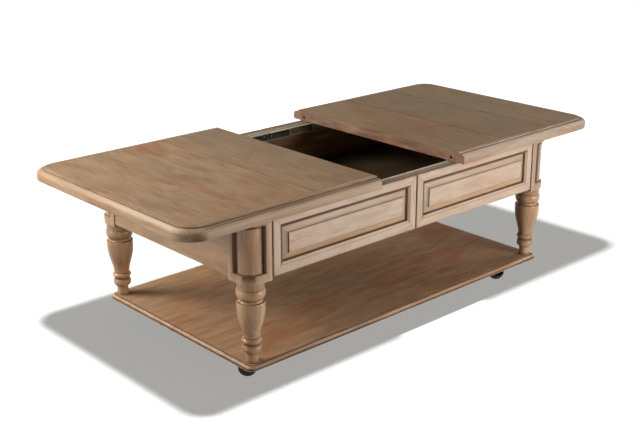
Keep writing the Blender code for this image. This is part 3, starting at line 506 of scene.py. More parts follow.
def wood(name, kind, axis, roughness=(0.36, 0.50), streaks=0.45, clouds=0.35, pores=0.80,
         gloss=0.45, figured=FIGURE):
    """Stained and glazed wood of one kind, with its grain along an axis."""
    finish = looks().finish
    light, middle, dark = tones_of(kind)
    made = Shading(name)
    shift = made.out("ShaderNodeVectorMath", {0: BOARD_SHIFT, "Scale": made.attribute(BOARD)},
                     operation="SCALE")
    figure = made.grain(axis, figured, shift, 4.0, 0.55, 0.6)
    fibres = made.grain(axis, FIBRES, shift, 2.0, 0.6)
    flecks = made.grain(axis, FLECKS, shift, 3.0, 0.6, 0.3)
    cloud = made.grain(axis, CLOUDS, shift, 2.0)
    glaze = made.attribute(GLAZE)
    glazed = made.spread(glaze, 0.0, 1.0)

    colour = made.ramp(figure, [(0.30, dark), (0.50, middle), (0.72, light)])
    warm = made.spread(cloud, 0.50, 0.72, 0.0, clouds)
    colour = made.mix(warm, colour, made.mix(1.0, colour, opaque(finish.warm), "OVERLAY"))
    cool = made.spread(cloud, 0.50, 0.30, 0.0, clouds)
    colour = made.mix(cool, colour, made.mix(0.5, colour, opaque(finish.cool)))
    dashes = made.spread(flecks, 0.57, 0.69, 0.0, streaks)
    colour = made.mix(dashes, colour, scaled(dark, 0.78))
    fine = made.spread(fibres, 0.36, 0.62, pores, 1.25 - pores / 4)
    grey = made.out("ShaderNodeCombineColor", {"Red": fine, "Green": fine, "Blue": fine})
    colour = made.mix(1.0, colour, grey, "MULTIPLY")
    patchy = made.maths("MULTIPLY", glaze, made.spread(flecks, 0.30, 0.60, 0.80, 1.0))
    colour = made.mix(patchy, colour, opaque(finish.glaze))
    # Glaze below 0 paints the wood pale: partly rubbed wear, partly a painted highlight
    colour = made.mix(made.spread(glaze, 0.0, -1.0), colour, opaque(finish.rubbed))
    colour = made.mix(made.attribute(SHADE), colour, opaque(finish.shade))

    rough = made.spread(figure, 0.3, 0.7, *roughness)
    rough = made.maths("ADD", rough, made.maths("MULTIPLY", glazed, 0.4))
    made.give(made.shader.inputs["Specular IOR Level"],
              made.spread(glaze, 0.0, 1.0, gloss, gloss * 0.07))
    made.bump(made.maths("ADD", fibres, made.maths("MULTIPLY", flecks, 0.6)), 0.16, 0.0004)
    return made.finish(base_color=colour, roughness=rough)


def end_grain(name, kind):
    """The cut end of a strip: fine arcs of growth rings."""
    light, middle, dark = tones_of(kind)
    made = Shading(name)
    squeezed = made.out("ShaderNodeMapping", {
        "Vector": made.where(), "Scale": (40.0, 260.0, 90.0), "Rotation": (0.35, 0.0, 0.0)})
    rings = made.noise(squeezed, 1.0, 3.0, 0.6, 1.2)
    pores = made.noise(made.where(), 900.0, 2.0)
    colour = made.ramp(rings, [(0.30, dark), (0.52, middle), (0.74, light)])
    colour = made.mix(made.spread(pores, 0.55, 0.75, 0.0, 0.5), colour, dark)
    made.bump(pores, 0.2, 0.0004)
    return made.finish(base_color=colour, roughness=0.62)


def metal(name, kind, roughness, shine):
    """Plated steel with fine drawing marks lengthways and dull patches."""
    bright = getattr(looks().finish, kind)
    made = Shading(name)
    marks = made.grain("X", DRAWING_MARKS, NO_SHIFT, 3.0)
    patches = made.grain("X", DULL_PATCHES, NO_SHIFT, 3.0)
    colour = made.mix(made.spread(patches, 0.35, 0.70), scaled(bright, 0.62), opaque(bright))
    rough = made.spread(patches, 0.3, 0.7, roughness + 0.12, roughness)
    made.bump(marks, 0.08, 0.0002)
    return made.finish(base_color=colour, roughness=rough, metallic=shine)


def plastic(name, kind, roughness):
    """Moulded plastic with a fine spark texture and scuffs."""
    plain = getattr(looks().finish, kind)
    made = Shading(name)
    spark = made.noise(made.where(), 1500.0, 2.0)
    scuffs = made.noise(made.where(), 130.0, 4.0, 0.65, 0.8)
    worn = opaque(level * 2.4 + 0.004 for level in plain)
    colour = made.mix(made.spread(scuffs, 0.52, 0.75, 0.0, 0.6), opaque(plain), worn)
    rough = made.spread(scuffs, 0.3, 0.7, roughness, roughness + 0.15)
    made.bump(spark, 0.15, 0.0002)
    return made.finish(base_color=colour, roughness=rough)


SATIN = {"roughness": (0.44, 0.56)}
DULL = {"roughness": (0.55, 0.7)}
RUBBED = {"roughness": (0.5, 0.6), "streaks": 0.2}
STRIP = {"roughness": (0.58, 0.68), "streaks": 0.30, "gloss": 0.36}
PANEL = {"streaks": 0.10, "clouds": 0.30, "pores": 0.95, "figured": PANEL_FIGURE}

# How each finish is made, from its name
FINISHES = {
    "lid boards": partial(wood, kind="lid", axis="Y", streaks=0.80, clouds=0.38, pores=0.88,
                          figured=LID_FIGURE, **SATIN),
    "lid strips lengthways": partial(wood, kind="strip", axis="X", **STRIP),
    "lid strips crossways": partial(wood, kind="strip", axis="Y", roughness=(0.76, 0.86),
                                    streaks=0.30, gloss=0.22),
    "pale strips lengthways": partial(wood, kind="pale", axis="X", **STRIP),
    "pale strips crossways": partial(wood, kind="pale", axis="Y", **STRIP),
    "meeting edge": partial(wood, kind="edge", axis="Y", roughness=(0.68, 0.8), streaks=0.6,
                            figured=LID_FIGURE),
    "strip end grain": partial(end_grain, kind="edge"),
    "panel rails": partial(wood, kind="case", axis="X", **PANEL),
    "panel stiles": partial(wood, kind="case", axis="Z", **PANEL),
    # Warmer copy for the down-facing slopes: painted bounce light, partly glaze
    "lower slopes": partial(wood, kind="slope", axis="X", **{**PANEL, "clouds": 0.10}),
    "legs": partial(wood, kind="leg", axis="Z", roughness=(0.28, 0.40), streaks=0.25),
    "posts": partial(wood, kind="post", axis="Z", streaks=0.25),
    "pale posts": partial(wood, kind="pale", axis="Z", roughness=(0.30, 0.42), streaks=0.25),
    "end aprons": partial(wood, kind="leg", axis="Y", streaks=0.15, clouds=0.15, pores=0.88,
                          figured=LID_FIGURE),
    "shelf": partial(wood, kind="shelf", axis="X", streaks=0.35, clouds=0.55, pores=0.91,
                     figured=LID_FIGURE, **SATIN),
    "shelf edge": partial(wood, kind="rim", axis="X", streaks=0.2, **SATIN),
    "inner boards": partial(wood, kind="well", axis="X", **DULL),
    "well floor": partial(wood, kind="base", axis="X", streaks=0.2, **DULL),
    "apron tops": partial(wood, kind="rail", axis="X", **RUBBED),
    "worn edge": partial(wood, kind="worn", axis="X", **RUBBED),
    "pegs": partial(wood, kind="dowel", axis="X", streaks=0.2, **DULL),
    "rail steel": partial(metal, kind="rail_steel", roughness=0.42, shine=0.45),
    "cage steel": partial(metal, kind="cage_steel", roughness=0.34, shine=0.6),
    "flange steel": partial(metal, kind="flange_steel", roughness=0.40, shine=0.15),
    "ball steel": partial(metal, kind="ball_steel", roughness=0.24, shine=0.30),
    "plate steel": partial(metal, kind="plate_steel", roughness=0.30, shine=1.0),
    "tyres": partial(plastic, kind="tyre", roughness=0.48),
    "housings": partial(plastic, kind="housing", roughness=0.36),
}


def finish_named(name):
    """A finish by its name, made the first time that a piece asks for it."""
    return bpy.data.materials.get(name) or FINISHES[name](name)


# Meshes

def placed(name, data):
    """An object that holds some data, linked to the scene."""
    holder = bpy.data.objects.new(name, data)
    bpy.context.scene.collection.objects.link(holder)
    return holder


def new_piece(name, mesh, finishes, body, nodes=()):
    """A finished piece: its materials, the body that carries it and the nodes it stands for."""
    mesh.name = name
    if len(finishes) == 1:
        mesh.materials.clear()
    for finish in finishes:
        mesh.materials.append(finish_named(finish))
    mesh.shade_smooth()
    mesh.set_sharp_from_angle(angle=math.radians(SMOOTH_DEGREES))
    piece = placed(name, mesh)
    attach(piece, body)
    if nodes:
        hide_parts(*nodes)


def body_of(node):
    return frame["nodes"][node]["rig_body"]


def inner_of(low, high, side):
    """The end of a span that is nearer to the table's middle."""
    return low if side > 0 else high


def outer_of(low, high, side):
    return high if side > 0 else low


def new_solid():
    """An empty mesh under work, with its glaze, board and shade layers."""
    solid = bmesh.new()
    solid.verts.layers.float.new(GLAZE)
    solid.faces.layers.float.new(BOARD)
    solid.faces.layers.float.new(SHADE)
    return solid


def plain_mesh(solid, mesh=None):
    """The mesh of a bmesh, which is freed."""
    mesh = mesh or bpy.data.meshes.new("made")
    solid.to_mesh(mesh)
    solid.free()
    return mesh


def to_mesh(solid, mesh=None):
    """The mesh of a finished bmesh, welded and with its faces pointing out."""
    bmesh.ops.remove_doubles(solid, verts=solid.verts, dist=WELD)
    bmesh.ops.recalc_face_normals(solid, faces=solid.faces)
    return plain_mesh(solid, mesh)


def loft(solid, rings, material_index=0, cap_index=0, board=0.0):
    """Faces through a row of rings of (point, glaze), capped at both ends."""
    glaze = solid.verts.layers.float[GLAZE]
    boards = solid.faces.layers.float[BOARD]
    loops = []
    for ring in rings:
        loop = []
        for point, dark in ring:
            corner = solid.verts.new(point)
            corner[glaze] = dark
            loop.append(corner)
        loops.append(loop)
    faces = []
    size = len(loops[0])
    for lower, upper in zip(loops, loops[1:]):
        for here in range(size):
            after = (here + 1) % size
            faces.append(solid.faces.new((lower[here], lower[after], upper[after], upper[here])))
            faces[-1].material_index = material_index
    for loop in (loops[0], loops[-1]):
        faces.append(solid.faces.new(loop))
        faces[-1].material_index = cap_index
    for face in faces:
        face[boards] = board
    return faces


def shares(steps):
    """Even shares from 0 to 1."""
    return [step / steps for step in range(steps + 1)]


def quarter(steps):
    """Shares of a quarter turn, as (1 - cosine, sine) pairs from 0 to 1."""
    turns = [math.pi / 2 * part for part in shares(steps)]
    return [(1 - math.cos(turn), math.sin(turn)) for turn in turns]


def arc(centre_x, centre_y, radius, start, end, steps):
    angles = [math.radians(start + (end - start) * along) for along in shares(steps)]
    return [(centre_x + radius * math.cos(angle), centre_y + radius * math.sin(angle))
            for angle in angles]


def rounded_rectangle(half_x, half_y, radius, steps):
    points = []
    for turn, side_x, side_y in ((0, 1, 1), (90, -1, 1), (180, -1, -1), (270, 1, -1)):
        points += arc(side_x * (half_x - radius), side_y * (half_y - radius), radius,
                      turn, turn + 90, steps)
    return points


def evaluated(piece):
    """The plain mesh of an object with its modifiers, after which the object is removed."""
    bpy.context.view_layer.update()
    depsgraph = bpy.context.evaluated_depsgraph_get()
    mesh = bpy.data.meshes.new_from_object(piece.evaluated_get(depsgraph))
    bpy.data.objects.remove(piece, do_unlink=True)
    return mesh


def shaped(mesh, cutters=(), ease=0.0, segments=2):
    """A mesh with others cut out of it, and then with its edges eased."""
    holder = placed("shaped", mesh)
    blades = [placed("blade", cutter) for cutter in cutters]
    for blade in blades:
        step = holder.modifiers.new("cut", "BOOLEAN")
        step.operation = "DIFFERENCE"
        step.object = blade
    if ease:
        step = holder.modifiers.new("eased edges", "BEVEL")
        step.width = ease
        step.segments = segments
        step.limit_method = "ANGLE"
        step.angle_limit = math.radians(SMOOTH_DEGREES)
        step.use_clamp_overlap = True
        step.miter_outer = "MITER_ARC"
    made = evaluated(holder)
    for blade in blades:
        bpy.data.objects.remove(blade, do_unlink=True)
    return made


def cylinder(radius, low, high, axis, centre):
    """A plain cylinder along X or Y, used to cut a hole."""
    solid = bmesh.new()
    bmesh.ops.create_cone(solid, cap_ends=True, segments=32, radius1=radius, radius2=radius,
                          depth=high - low)
    turn = Matrix.Rotation(math.pi / 2, 4, "Y" if axis == "X" else "X")
    middle = Vector(centre)
    middle[AXES[axis]] += (low + high) / 2
    bmesh.ops.transform(solid, matrix=Matrix.Translation(middle) @ turn, verts=solid.verts)
    return to_mesh(solid)


# How close points of a CAD mesh are one, and how flat its faces are one
COPY_WELD = 0.00002
COPY_FLAT = math.radians(1.0)


def eased_node(node, ease, segments=2, cutters=()):
    """A CAD node's shape as clean faces, with any holes cut and its edges eased."""
    source = frame["nodes"][node].data
    solid = bmesh.new()
    corners = [solid.verts.new(corner.co) for corner in source.vertices]
    for face in source.polygons:
        solid.faces.new([corners[index] for index in face.vertices])
    bmesh.ops.remove_doubles(solid, verts=solid.verts, dist=COPY_WELD)
    bmesh.ops.dissolve_limit(solid, angle_limit=COPY_FLAT, verts=solid.verts, edges=solid.edges)
    return shaped(plain_mesh(solid), cutters, ease, segments)


def grown(tree, points, attributes, values, edges=()):
    """The plain mesh that a node tree makes of points, which carry (name, type, numbers)."""
    base = bpy.data.meshes.new("points")
    base.from_pydata(points, edges, [])
    for name, kind, numbers in attributes:
        layer = base.attributes.new(name, kind, "POINT")
        layer.data.foreach_set("vector" if kind == "FLOAT_VECTOR" else "value", numbers)
    holder = placed("grown", base)
    step = holder.modifiers.new("grown", "NODES")
    step.node_group = tree
    keys = {item.name: item.identifier for item in tree.interface.items_tree}
    for name, value in values.items():
        step[keys[name]] = value
    return evaluated(holder)


TURNED_TREE = "turned piece"


def turned_tree():
    """Nodes that turn a line of points with radii into a round, capped solid."""
    made = Growth(TURNED_TREE, Sides="Int")
    radius = made.attribute(TURNED_RADIUS, "FLOAT")
    curve = made.out("GeometryNodeMeshToCurve", {0: made.given["Points"]})
    curve = made.out("GeometryNodeSetCurveRadius", {"Curve": curve, "Radius": radius})
    circle = made.out("GeometryNodeCurvePrimitiveCircle", {
        "Resolution": made.given["Sides"], "Radius": 1.0})
    body = made.node("GeometryNodeCurveToMesh", {
        "Curve": curve, "Profile Curve": circle, "Fill Caps": True})
    if "Scale" in body.inputs:
        made.give(body.inputs["Scale"], radius)
    return made.close(body.outputs[0])


def turned_mesh(profile, sides, finish, matrix):
    """A solid turned about Z from (radius, height, glaze) points, then put in its place."""
    radii, heights, glazes = zip(*profile)
    tree = bpy.data.node_groups.get(TURNED_TREE) or turned_tree()
    mesh = grown(tree, [(0.0, 0.0, height) for height in heights],
                 [(TURNED_RADIUS, "FLOAT", radii), (GLAZE, "FLOAT", glazes)],
                 {"Sides": sides, "Finish": finish_named(finish)},
                 [(here, here + 1) for here in range(len(profile) - 1)])
    solid = bmesh.new()
    solid.from_mesh(mesh)
    bmesh.ops.transform(solid, matrix=matrix, verts=solid.verts)
    return to_mesh(solid, mesh)


# Lids

# On a banded round, a dark line as a share of the way from its foot to the ledge, the glaze of the
# line, the glaze above it, and how pale the wood below it is made, as rubbed wear and painted highlight
BAND_LINE = 0.39
BAND_LINE_WIDTH = 0.08
BAND_LINE_GLAZE = 0.75
BAND_GLAZE = 0.24
BAND_RUB_AND_HIGHLIGHT = -0.6

# Painted shade below the round, at its darkest where a band fades out along a corner
CORNER_SHADE = 0.75

# How far each board leans to the grey brown, from the meeting edge out: partly board tone, and on the
# right lid painted shade where the light falls off
BOARD_SHADES = {"left": (0.10, 0.03, 0.0), "right": (0.27, 0.31, 0.19)}

# How much glaze each groove keeps, from the meeting edge out, and how dark the arris above the step is,
# partly glaze and partly painted shade
GROOVE_GLAZE = {"left": (0.60, 0.16), "right": (1.0, 1.0)}
ARRIS_SHADE_AND_GLAZE = {"left": 0.40, "right": 0.0}
# The right lid's strips take the paler copy, partly painted light
STRIP_STAINS = {"left": "lid strips", "right": "pale strips"}

# How far the rounds are banded, and how far they are made pale as rubbed wear and painted highlight,
# on side strips and on both halves of end strips
SIDE_BAND = {"left": 1.0, "right": 0.0}
SIDE_RUB_AND_HIGHLIGHT = {"left": 0.35, "right": 0.50}
END_RUB_AND_HIGHLIGHT = {"left": (0.85, 0.0), "right": (0.3, 0.3)}

# How a corner is divided, and the fine line of glaze at its mitre
CORNER_STEPS = 13
MITRE = math.radians(45.0)
MITRE_LINE = math.radians(2.0)
MITRE_GLAZE = 0.08

# The depth of the dowel holes, and the chamfer at a peg's tip
HOLE_DEPTHS = {"left": 0.0205, "right": 0.0135}
PEG_TIP = 0.0012


def round_glaze(out, band):
    """Glaze on a strip's round, where out is 0 at its foot and 1 at the ledge.

    With a band of 1 it is brown above a dark line. Glaze below 0 is pale wood, partly rubbed wear and
    partly a painted highlight.
    """
    plain = 0.5 * out ** 12 - math.sin(math.pi * out)
    line = 1 - abs(out - BAND_LINE) / BAND_LINE_WIDTH
    banded = max(BAND_LINE_GLAZE * line, BAND_GLAZE if out > BAND_LINE else BAND_RUB_AND_HIGHLIGHT)
    return plain + (banded - plain) * band


def lid_strip_profile(look, low, top, arris, band):
    """The moulded edge as (inset, height, glaze), from the inner foot round to the step.

    An inset of None is the strip's inner edge, and a pair is a share of the flat above the step.
    """
    ease, across, down = look.foot_ease, look.round_across, look.round_down
    ledge, step = top - look.step_depth, look.step_inset
    # Painted shade on the corner's round, darkest halfway along the band's fade
    corner_shade = CORNER_SHADE * 4 * band * (1 - band)
    points = [(None, low, 0.0)]
    points += [(ease * (1 - rise), low + ease * fall, max(0.12 * (1 - fall), corner_shade))
               for fall, rise in quarter(4)]
    points += [(across * out, ledge - down * (1 - up), round_glaze(out, band) + corner_shade * (1 - out) ** 6)
               for out, up in quarter(12)[:-1]]
    # The ledge's crease, the riser and the arris are darkened, partly glaze and partly painted shade
    points += [(across, ledge, 0.60), (step - 0.0006, ledge, 0.90), (step, ledge + 0.0005, 0.6),
               (step + 0.0001, ledge + 0.0012, arris / 2), (step + 0.0002, top - 0.0007, arris / 2),
               (step + 0.0004, top - 0.0002, arris), (step + 0.0010, top, arris),
               ((step + 0.0010, 0.3), top, 0.0), ((step + 0.0010, 0.75), top, 0.0),
               (None, top - 0.0002, 0.30)]
    return points


def strip_ring(profile, base, outward, inner, dark, rub_and_highlight):
    """The profile's points at one station of a strip, with its least glaze and how far its round is made
    pale, as rubbed wear and painted highlight.
    """
    ring = []
    for inset, height, glaze in profile:
        if inset is None:
            inset = inner
        elif isinstance(inset, tuple):
            start, part = inset
            inset = start + (inner - start) * part
        spot = Vector(base) - Vector(outward) * inset
        if glaze < 0.0:
            glaze *= rub_and_highlight
        ring.append(((spot.x, spot.y, height), max(glaze, dark) if dark else glaze))
    return ring


def round_station(look, centre, angle, flat):
    """A station on a lid's round corner; flat is the sine or cosine that the inner edge follows."""
    radius = look.corner_radius
    outward = (math.cos(angle), math.sin(angle))
    base = (centre[0] + radius * outward[0], centre[1] + radius * outward[1])
    inner = radius - (radius - look.strip_width) / abs(flat(angle))
    return base, outward, inner


def side_stations(look, half_y, reach, rub_and_highlight, band):
    """Stations of a front strip: straight from the meeting edge, then round to the mitre."""
    bend = reach - look.corner_radius
    centre = (bend, -half_y + look.corner_radius)
    stations = [((x, -half_y), (0.0, -1.0), look.strip_width, dark, rub_and_highlight, band)
                for x, dark in ((0.0, 0.15), (0.002, 0.0), (bend / 2, 0.0))]
    for turned in shares(CORNER_STEPS):
        angle = -math.pi / 2 + (MITRE - MITRE_LINE) * turned
        stations.append((*round_station(look, centre, angle, math.sin), 0.0, rub_and_highlight * (1 - turned),
                         band * (1 - turned)))
    stations.append((*round_station(look, centre, -MITRE, math.sin), MITRE_GLAZE, 0.0, 0.0))
    return stations


def end_stations(look, half_y, reach, rub_and_highlight):
    """Stations of an end strip, from the front mitre to the rear one."""
    centre = (reach - look.corner_radius, -half_y + look.corner_radius)
    halves = []
    for rubbed in rub_and_highlight:
        half = [(*round_station(look, centre, -MITRE, math.cos), MITRE_GLAZE, 0.0, 0.0)]
        for turned in shares(CORNER_STEPS):
            angle = -(MITRE - MITRE_LINE) * (1 - turned)
            half.append((*round_station(look, centre, angle, math.cos), 0.0, rubbed * turned, 0.0))
        halves.append(half)
    front, rear = halves
    return front + [((base[0], -base[1]), (outward[0], -outward[1]), *rest)
                    for base, outward, *rest in reversed(rear)]


def make_strip(name, stations, profile_of, side_x, side_y, start_x, finishes, body, node):
    """One moulded strip, lofted through its stations on the side that the signs name."""
    solid = new_solid()
    rings = []
    for *station, band in stations:
        ring = strip_ring(profile_of(band), *station)
        rings.append([((side_x * (start_x + x), side_y * y, z), glaze) for (x, y, z), glaze in ring])
    loft(solid, rings, cap_index=len(finishes) - 1, board=1.0 + len(name))
    new_piece(name, to_mesh(solid), finishes, body, [node])


def board_profile(look, width, low, top, glazes):
    """The boards' section from the meeting edge out, as (distance, height, glaze), and board ends."""
    ease, half = look.edge_ease, look.groove_width / 2
    lid_length = width + look.strip_width
    section = [(ease * (1 - rise), low + ease * fall, 0.0) for fall, rise in quarter(3)]
    section += [(ease * out, top - ease * (1 - up), 0.10) for out, up in quarter(3)]
    grooves = [lid_length * board / look.boards for board in range(1, look.boards)]
    for groove, dark in zip(grooves, glazes):
        rim = 0.0003 * dark
        depth = rim + look.groove_depth * dark ** 2
        section += [(groove - 0.006, top, 0.0), (groove - half - 0.0004, top, 0.20 * dark),
                    (groove - half, top - rim, 0.75 * dark), (groove, top - depth, dark),
                    (groove + half, top - rim, 0.75 * dark),
                    (groove + half + 0.0004, top, 0.20 * dark), (groove + 0.006, top, 0.0)]
    section += [(width - 0.004, top, 0.0), (width - 0.0003, top, 0.25), (width, top - 0.0003, 0.5),
                (width, low, 0.0)]
    return section, grooves


def make_boards(end, look, body):
    """The boarded middle of a lid, with its dowel seats or holes."""
    node = f"{end}_lid_panel"
    low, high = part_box(node)
    side_x = SIDES_X[end]
    start = inner_of(low.x, high.x, side_x)
    section, grooves = board_profile(look, high.x - low.x, low.z, high.z, GROOVE_GLAZE[end])
    # Each station's place, its least glaze and how far its top drops
    stations = [(low.y, 0.45, 0.0003), (low.y + 0.0004, 0.25, 0.0), (low.y + 0.004, 0.0, 0.0),
                (high.y - 0.004, 0.0, 0.0), (high.y - 0.0004, 0.25, 0.0), (high.y, 0.45, 0.0003)]
    rings = [[((start + side_x * away, y, min(height, high.z - drop)), max(glaze, dark))
              for away, height, glaze in section] for y, dark, drop in stations]
    solid = new_solid()
    faces = loft(solid, rings)
    boards, shades = solid.faces.layers.float[BOARD], solid.faces.layers.float[SHADE]
    for face in faces:
        middle = face.calc_center_median()
        away = abs(middle.x - start)
        order = sum(away > groove for groove in grooves)
        face[boards] = 3.0 * side_x + order
        face[shades] = BOARD_SHADES[end][order]
        if away < look.edge_ease / 2 or middle.z < low.z + SEAM:
            face.material_index = 1
            face[shades] = 0.0

    pegs = [sum(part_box(f"alignment_dowel_{face}"), Vector()) / 2 for face in SIDES_Y]
    radius = look.dowel_radius + (look.dowel_room if end == "right" else 2 * SEAM)
    hole = sorted((start - side_x * CLEAR, start + side_x * HOLE_DEPTHS[end]))
    mesh = shaped(to_mesh(solid), [cylinder(radius, *hole, "X", (0.0, peg.y, peg.z)) for peg in pegs])
    for face in mesh.polygons:
        for peg in pegs:
            away = face.center - peg
            if math.hypot(away.y, away.z) < radius:
                face.material_index = 2
    new_piece(f"{end}_lid_boards", mesh, ["lid boards", "meeting edge", "pegs"], body,
              [node])


class TABLE_OT_lids(bpy.types.Operator):
    """Make the boards and moulded strips of both lids"""
    bl_idname = "coffee_table.lids"
    bl_label = "Lids"

    def execute(self, context):
        look = looks().lid
        for end, side_x in SIDES_X.items():
            body = f"{end}_lid"
            make_boards(end, look, body)
            low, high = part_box(f"{end}_lid_panel")
            start_x = side_x * inner_of(low.x, high.x, side_x)
            low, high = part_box(f"{end}_lid_end_moulding")
            reach = side_x * outer_of(low.x, high.x, side_x) - start_x
            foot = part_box(f"{end}_lid_front_moulding")[0].z
            half_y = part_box(f"{end}_lid_rear_moulding")[1].y
            profile_of = partial(lid_strip_profile, look, foot, CAD_HIGH.z, ARRIS_SHADE_AND_GLAZE[end])
            stain = STRIP_STAINS[end]
            stations = side_stations(look, half_y, reach, SIDE_RUB_AND_HIGHLIGHT[end], SIDE_BAND[end])
            for face, side_y in SIDES_Y.items():
                make_strip(f"{end}_lid_{face}_strip", stations, profile_of, side_x, -side_y, start_x,
                           [f"{stain} lengthways", "strip end grain"], body,
                           f"{end}_lid_{face}_moulding")
            stations = end_stations(look, half_y, reach, END_RUB_AND_HIGHLIGHT[end])
            make_strip(f"{end}_lid_end_strip", stations, profile_of, side_x, 1, start_x,
                       [f"{stain} crossways"], body, f"{end}_lid_end_moulding")
        self.make_dowels(look)
        return {"FINISHED"}

    def make_dowels(self, look):
        """Bare pegs with chamfered tips."""
        radius = look.dowel_radius
        for face in SIDES_Y:
            node = f"alignment_dowel_{face}"
            low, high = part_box(node)
            middle = (low + high) / 2
            rings = []
            for x, size in ((low.x, radius - PEG_TIP), (low.x + PEG_TIP, radius),
                            (high.x - PEG_TIP, radius), (high.x, radius - PEG_TIP)):
                rings.append([((x, middle.y + y, middle.z + z), 0.0)
                              for y, z in arc(0.0, 0.0, size, 0, 352.5, 47)])
            solid = new_solid()
            loft(solid, rings)
            new_piece(f"{face}_peg", to_mesh(solid), ["pegs"], "left_lid", [node])


# Case

# Painted shade on a frame's moulding, partly glaze: dark under the top rail and beside the left stile,
# lighter beside the right one
DARK_MOULDING = 0.92
BROWN_MOULDING = 0.30

# Where a moulding's fillet ends, from its start
FILLET_END = 0.0014

# Painted shade on each slope of a raised panel: how far it leans to the grey brown, most on the uprights
BEVEL_SHADES = {"above": 0.04, "below": 0.0, "upright": 0.26}

# How wide the pale strip along an apron's top is beside the well, a painted highlight
HIGHLIGHT_EDGE = 0.0045

# Rounding of the case's boards, and how far below an apron's top its faces count as top
BOARD_EASE = 0.0006
END_EASE = 0.0008
TOP_SKIN = 0.0007


def frame_profile(look, thickness, dark):
    """A frame member's section as (inset, height, glaze), back outer edge to inner one.

    Dark is the painted shade, partly glaze, left on the moulding.
    """
    ease, width, fillet = look.frame_ease, look.frame_width, look.sticking_fillet
    start, face = width - look.sticking_width, thickness - fillet
    drop = look.sticking_depth - fillet
    points = [(0.0, 0.0, 0.9), (0.0, thickness - 0.006, 0.5)]
    points += [(ease * out, thickness - ease * (1 - up), 0.12) for out, up in quarter(4)]
    points += [(0.006, thickness, 0.0), (start - 0.002, thickness, 0.0), (start, thickness, 0.25),
               (start + 0.0003, face, max(0.6, dark)),
               (start + FILLET_END, face - 0.0001, max(0.05, dark))]
    points += [(start + FILLET_END + (look.sticking_width - FILLET_END) * along,
                face - drop * (1 - math.cos(math.pi / 2 * along)), max(dark, 0.6 * along ** 5))
               for along in shares(6)[1:]]
    # The recess beside the right stile is kept lighter, as painted shade that differs by side
    deep = 0.45 if dark == BROWN_MOULDING else 0.9
    points += [(width, thickness - look.sticking_depth - 0.001, deep), (width, 0.0, deep)]
    return points


def make_frame(rectangle, look, thickness, name, node, board):
    """Four mitred members, each lofted between its two mitres."""
    centre_x, centre_z, half_x, half_z, back, side_y = rectangle
    solid = new_solid()
    members = (("X", 1, DARK_MOULDING), ("X", -1, 0.0),
               ("Z", 1, BROWN_MOULDING), ("Z", -1, DARK_MOULDING))
    mitres = ((-1, SEAM, 0.55), (-1, 0.0012, 0.0), (1, 0.0012, 0.0), (1, SEAM, 0.55))
    for order, (axis, side, moulding) in enumerate(members):
        half_along, half_across = (half_x, half_z) if axis == "X" else (half_z, half_x)
        rings = []
        for sign, setback, dark in mitres:
            ring = []
            for inset, height, glaze in frame_profile(look, thickness, moulding):
                along = sign * (half_along - inset - setback)
                across = side * (half_across - inset)
                x, z = (along, across) if axis == "X" else (across, along)
                ring.append(((centre_x + x, back + side_y * height, centre_z + z), max(glaze, dark)))
            rings.append(ring)
        index = int(axis == "Z")
        loft(solid, rings, material_index=index, cap_index=index, board=board + order)
    new_piece(name, to_mesh(solid), ["panel rails", "panel stiles"], "base", [node])


def raised_profile(look):
    """A raised panel's section as (inset, height, glaze), from its back rim to its field."""
    low, rise, field = look.bevel_low, look.bevel_high - look.bevel_low, look.field_height
    rim = look.frame_width + 2 * SEAM
    stop = rim + look.bevel_width
    # The recess at the rim is dark, partly glaze in the crease and partly painted shade cast by the
    # frame
    points = [(rim, 0.0, 0.8), (rim, low, 0.8), (rim + 0.0012, low + 0.0002, 0.7)]
    for along, glaze in ((0.14, 0.45), (0.24, 0.20), (0.36, 0.10), (0.55, 0.08), (0.78, 0.06),
                         (0.93, 0.12)):
        sag = look.bevel_sag * math.sin(math.pi * along)
        points.append((rim + look.bevel_width * along, low + rise * along - sag, glaze))
    points += [(stop, look.bevel_high, 0.80), (stop + 0.0002, field - 0.0005, 0.70),
               (stop + 0.0008, field, 0.22), (stop + 0.005, field, 0.0)]
    return points


def make_raised_panel(rectangle, look, name, node, board):
    """A raised panel, lofted from its rim to its field, with painted shade and a warmer lower slope,
    slope by slope.
    """
    centre_x, centre_z, half_x, half_z, back, side_y = rectangle
    solid = new_solid()
    shades = solid.faces.layers.float[SHADE]
    rings = [[((centre_x + sign_x * (half_x - inset), back + side_y * height,
                centre_z + sign_z * (half_z - inset)), glaze)
              for sign_x, sign_z in ((1, 1), (-1, 1), (-1, -1), (1, -1))]
             for inset, height, glaze in raised_profile(look)]
    for face in loft(solid, rings, board=board):
        middle = face.calc_center_median()
        x, z = middle.x - centre_x, middle.z - centre_z
        if look.bevel_low < abs(middle.y - back) < look.bevel_high:
            upright = half_x - abs(x) < half_z - abs(z)
            slope = "upright" if upright else "above" if z > 0 else "below"
            face[shades] = BEVEL_SHADES[slope]
            face.material_index = int(slope == "below")
    new_piece(name, to_mesh(solid), ["panel rails", "lower slopes"], "base", [node])


class TABLE_OT_panels(bpy.types.Operator):
    """Make the mitred frames and raised panels of the front and the back"""
    bl_idname = "coffee_table.panels"
    bl_label = "Panels"

    def execute(self, context):
        look = looks().panel
        for order, (face, end) in enumerate(CORNERS):
            tag, side_y = f"{face}_{end}", SIDES_Y[face]
            low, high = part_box(f"{tag}_panel_frame")
            middle, half = (low + high) / 2, (high - low) / 2
            back = inner_of(low.y, high.y, side_y)
            rectangle = (middle.x, middle.z, half.x, half.z, back, side_y)
            make_frame(rectangle, look, high.y - low.y, f"{tag}_frame", f"{tag}_panel_frame",
                       5.0 * order)
            make_raised_panel(rectangle, look, f"{tag}_field", f"{tag}_raised_panel",
                              5.0 * order + 4.0)
        return {"FINISHED"}


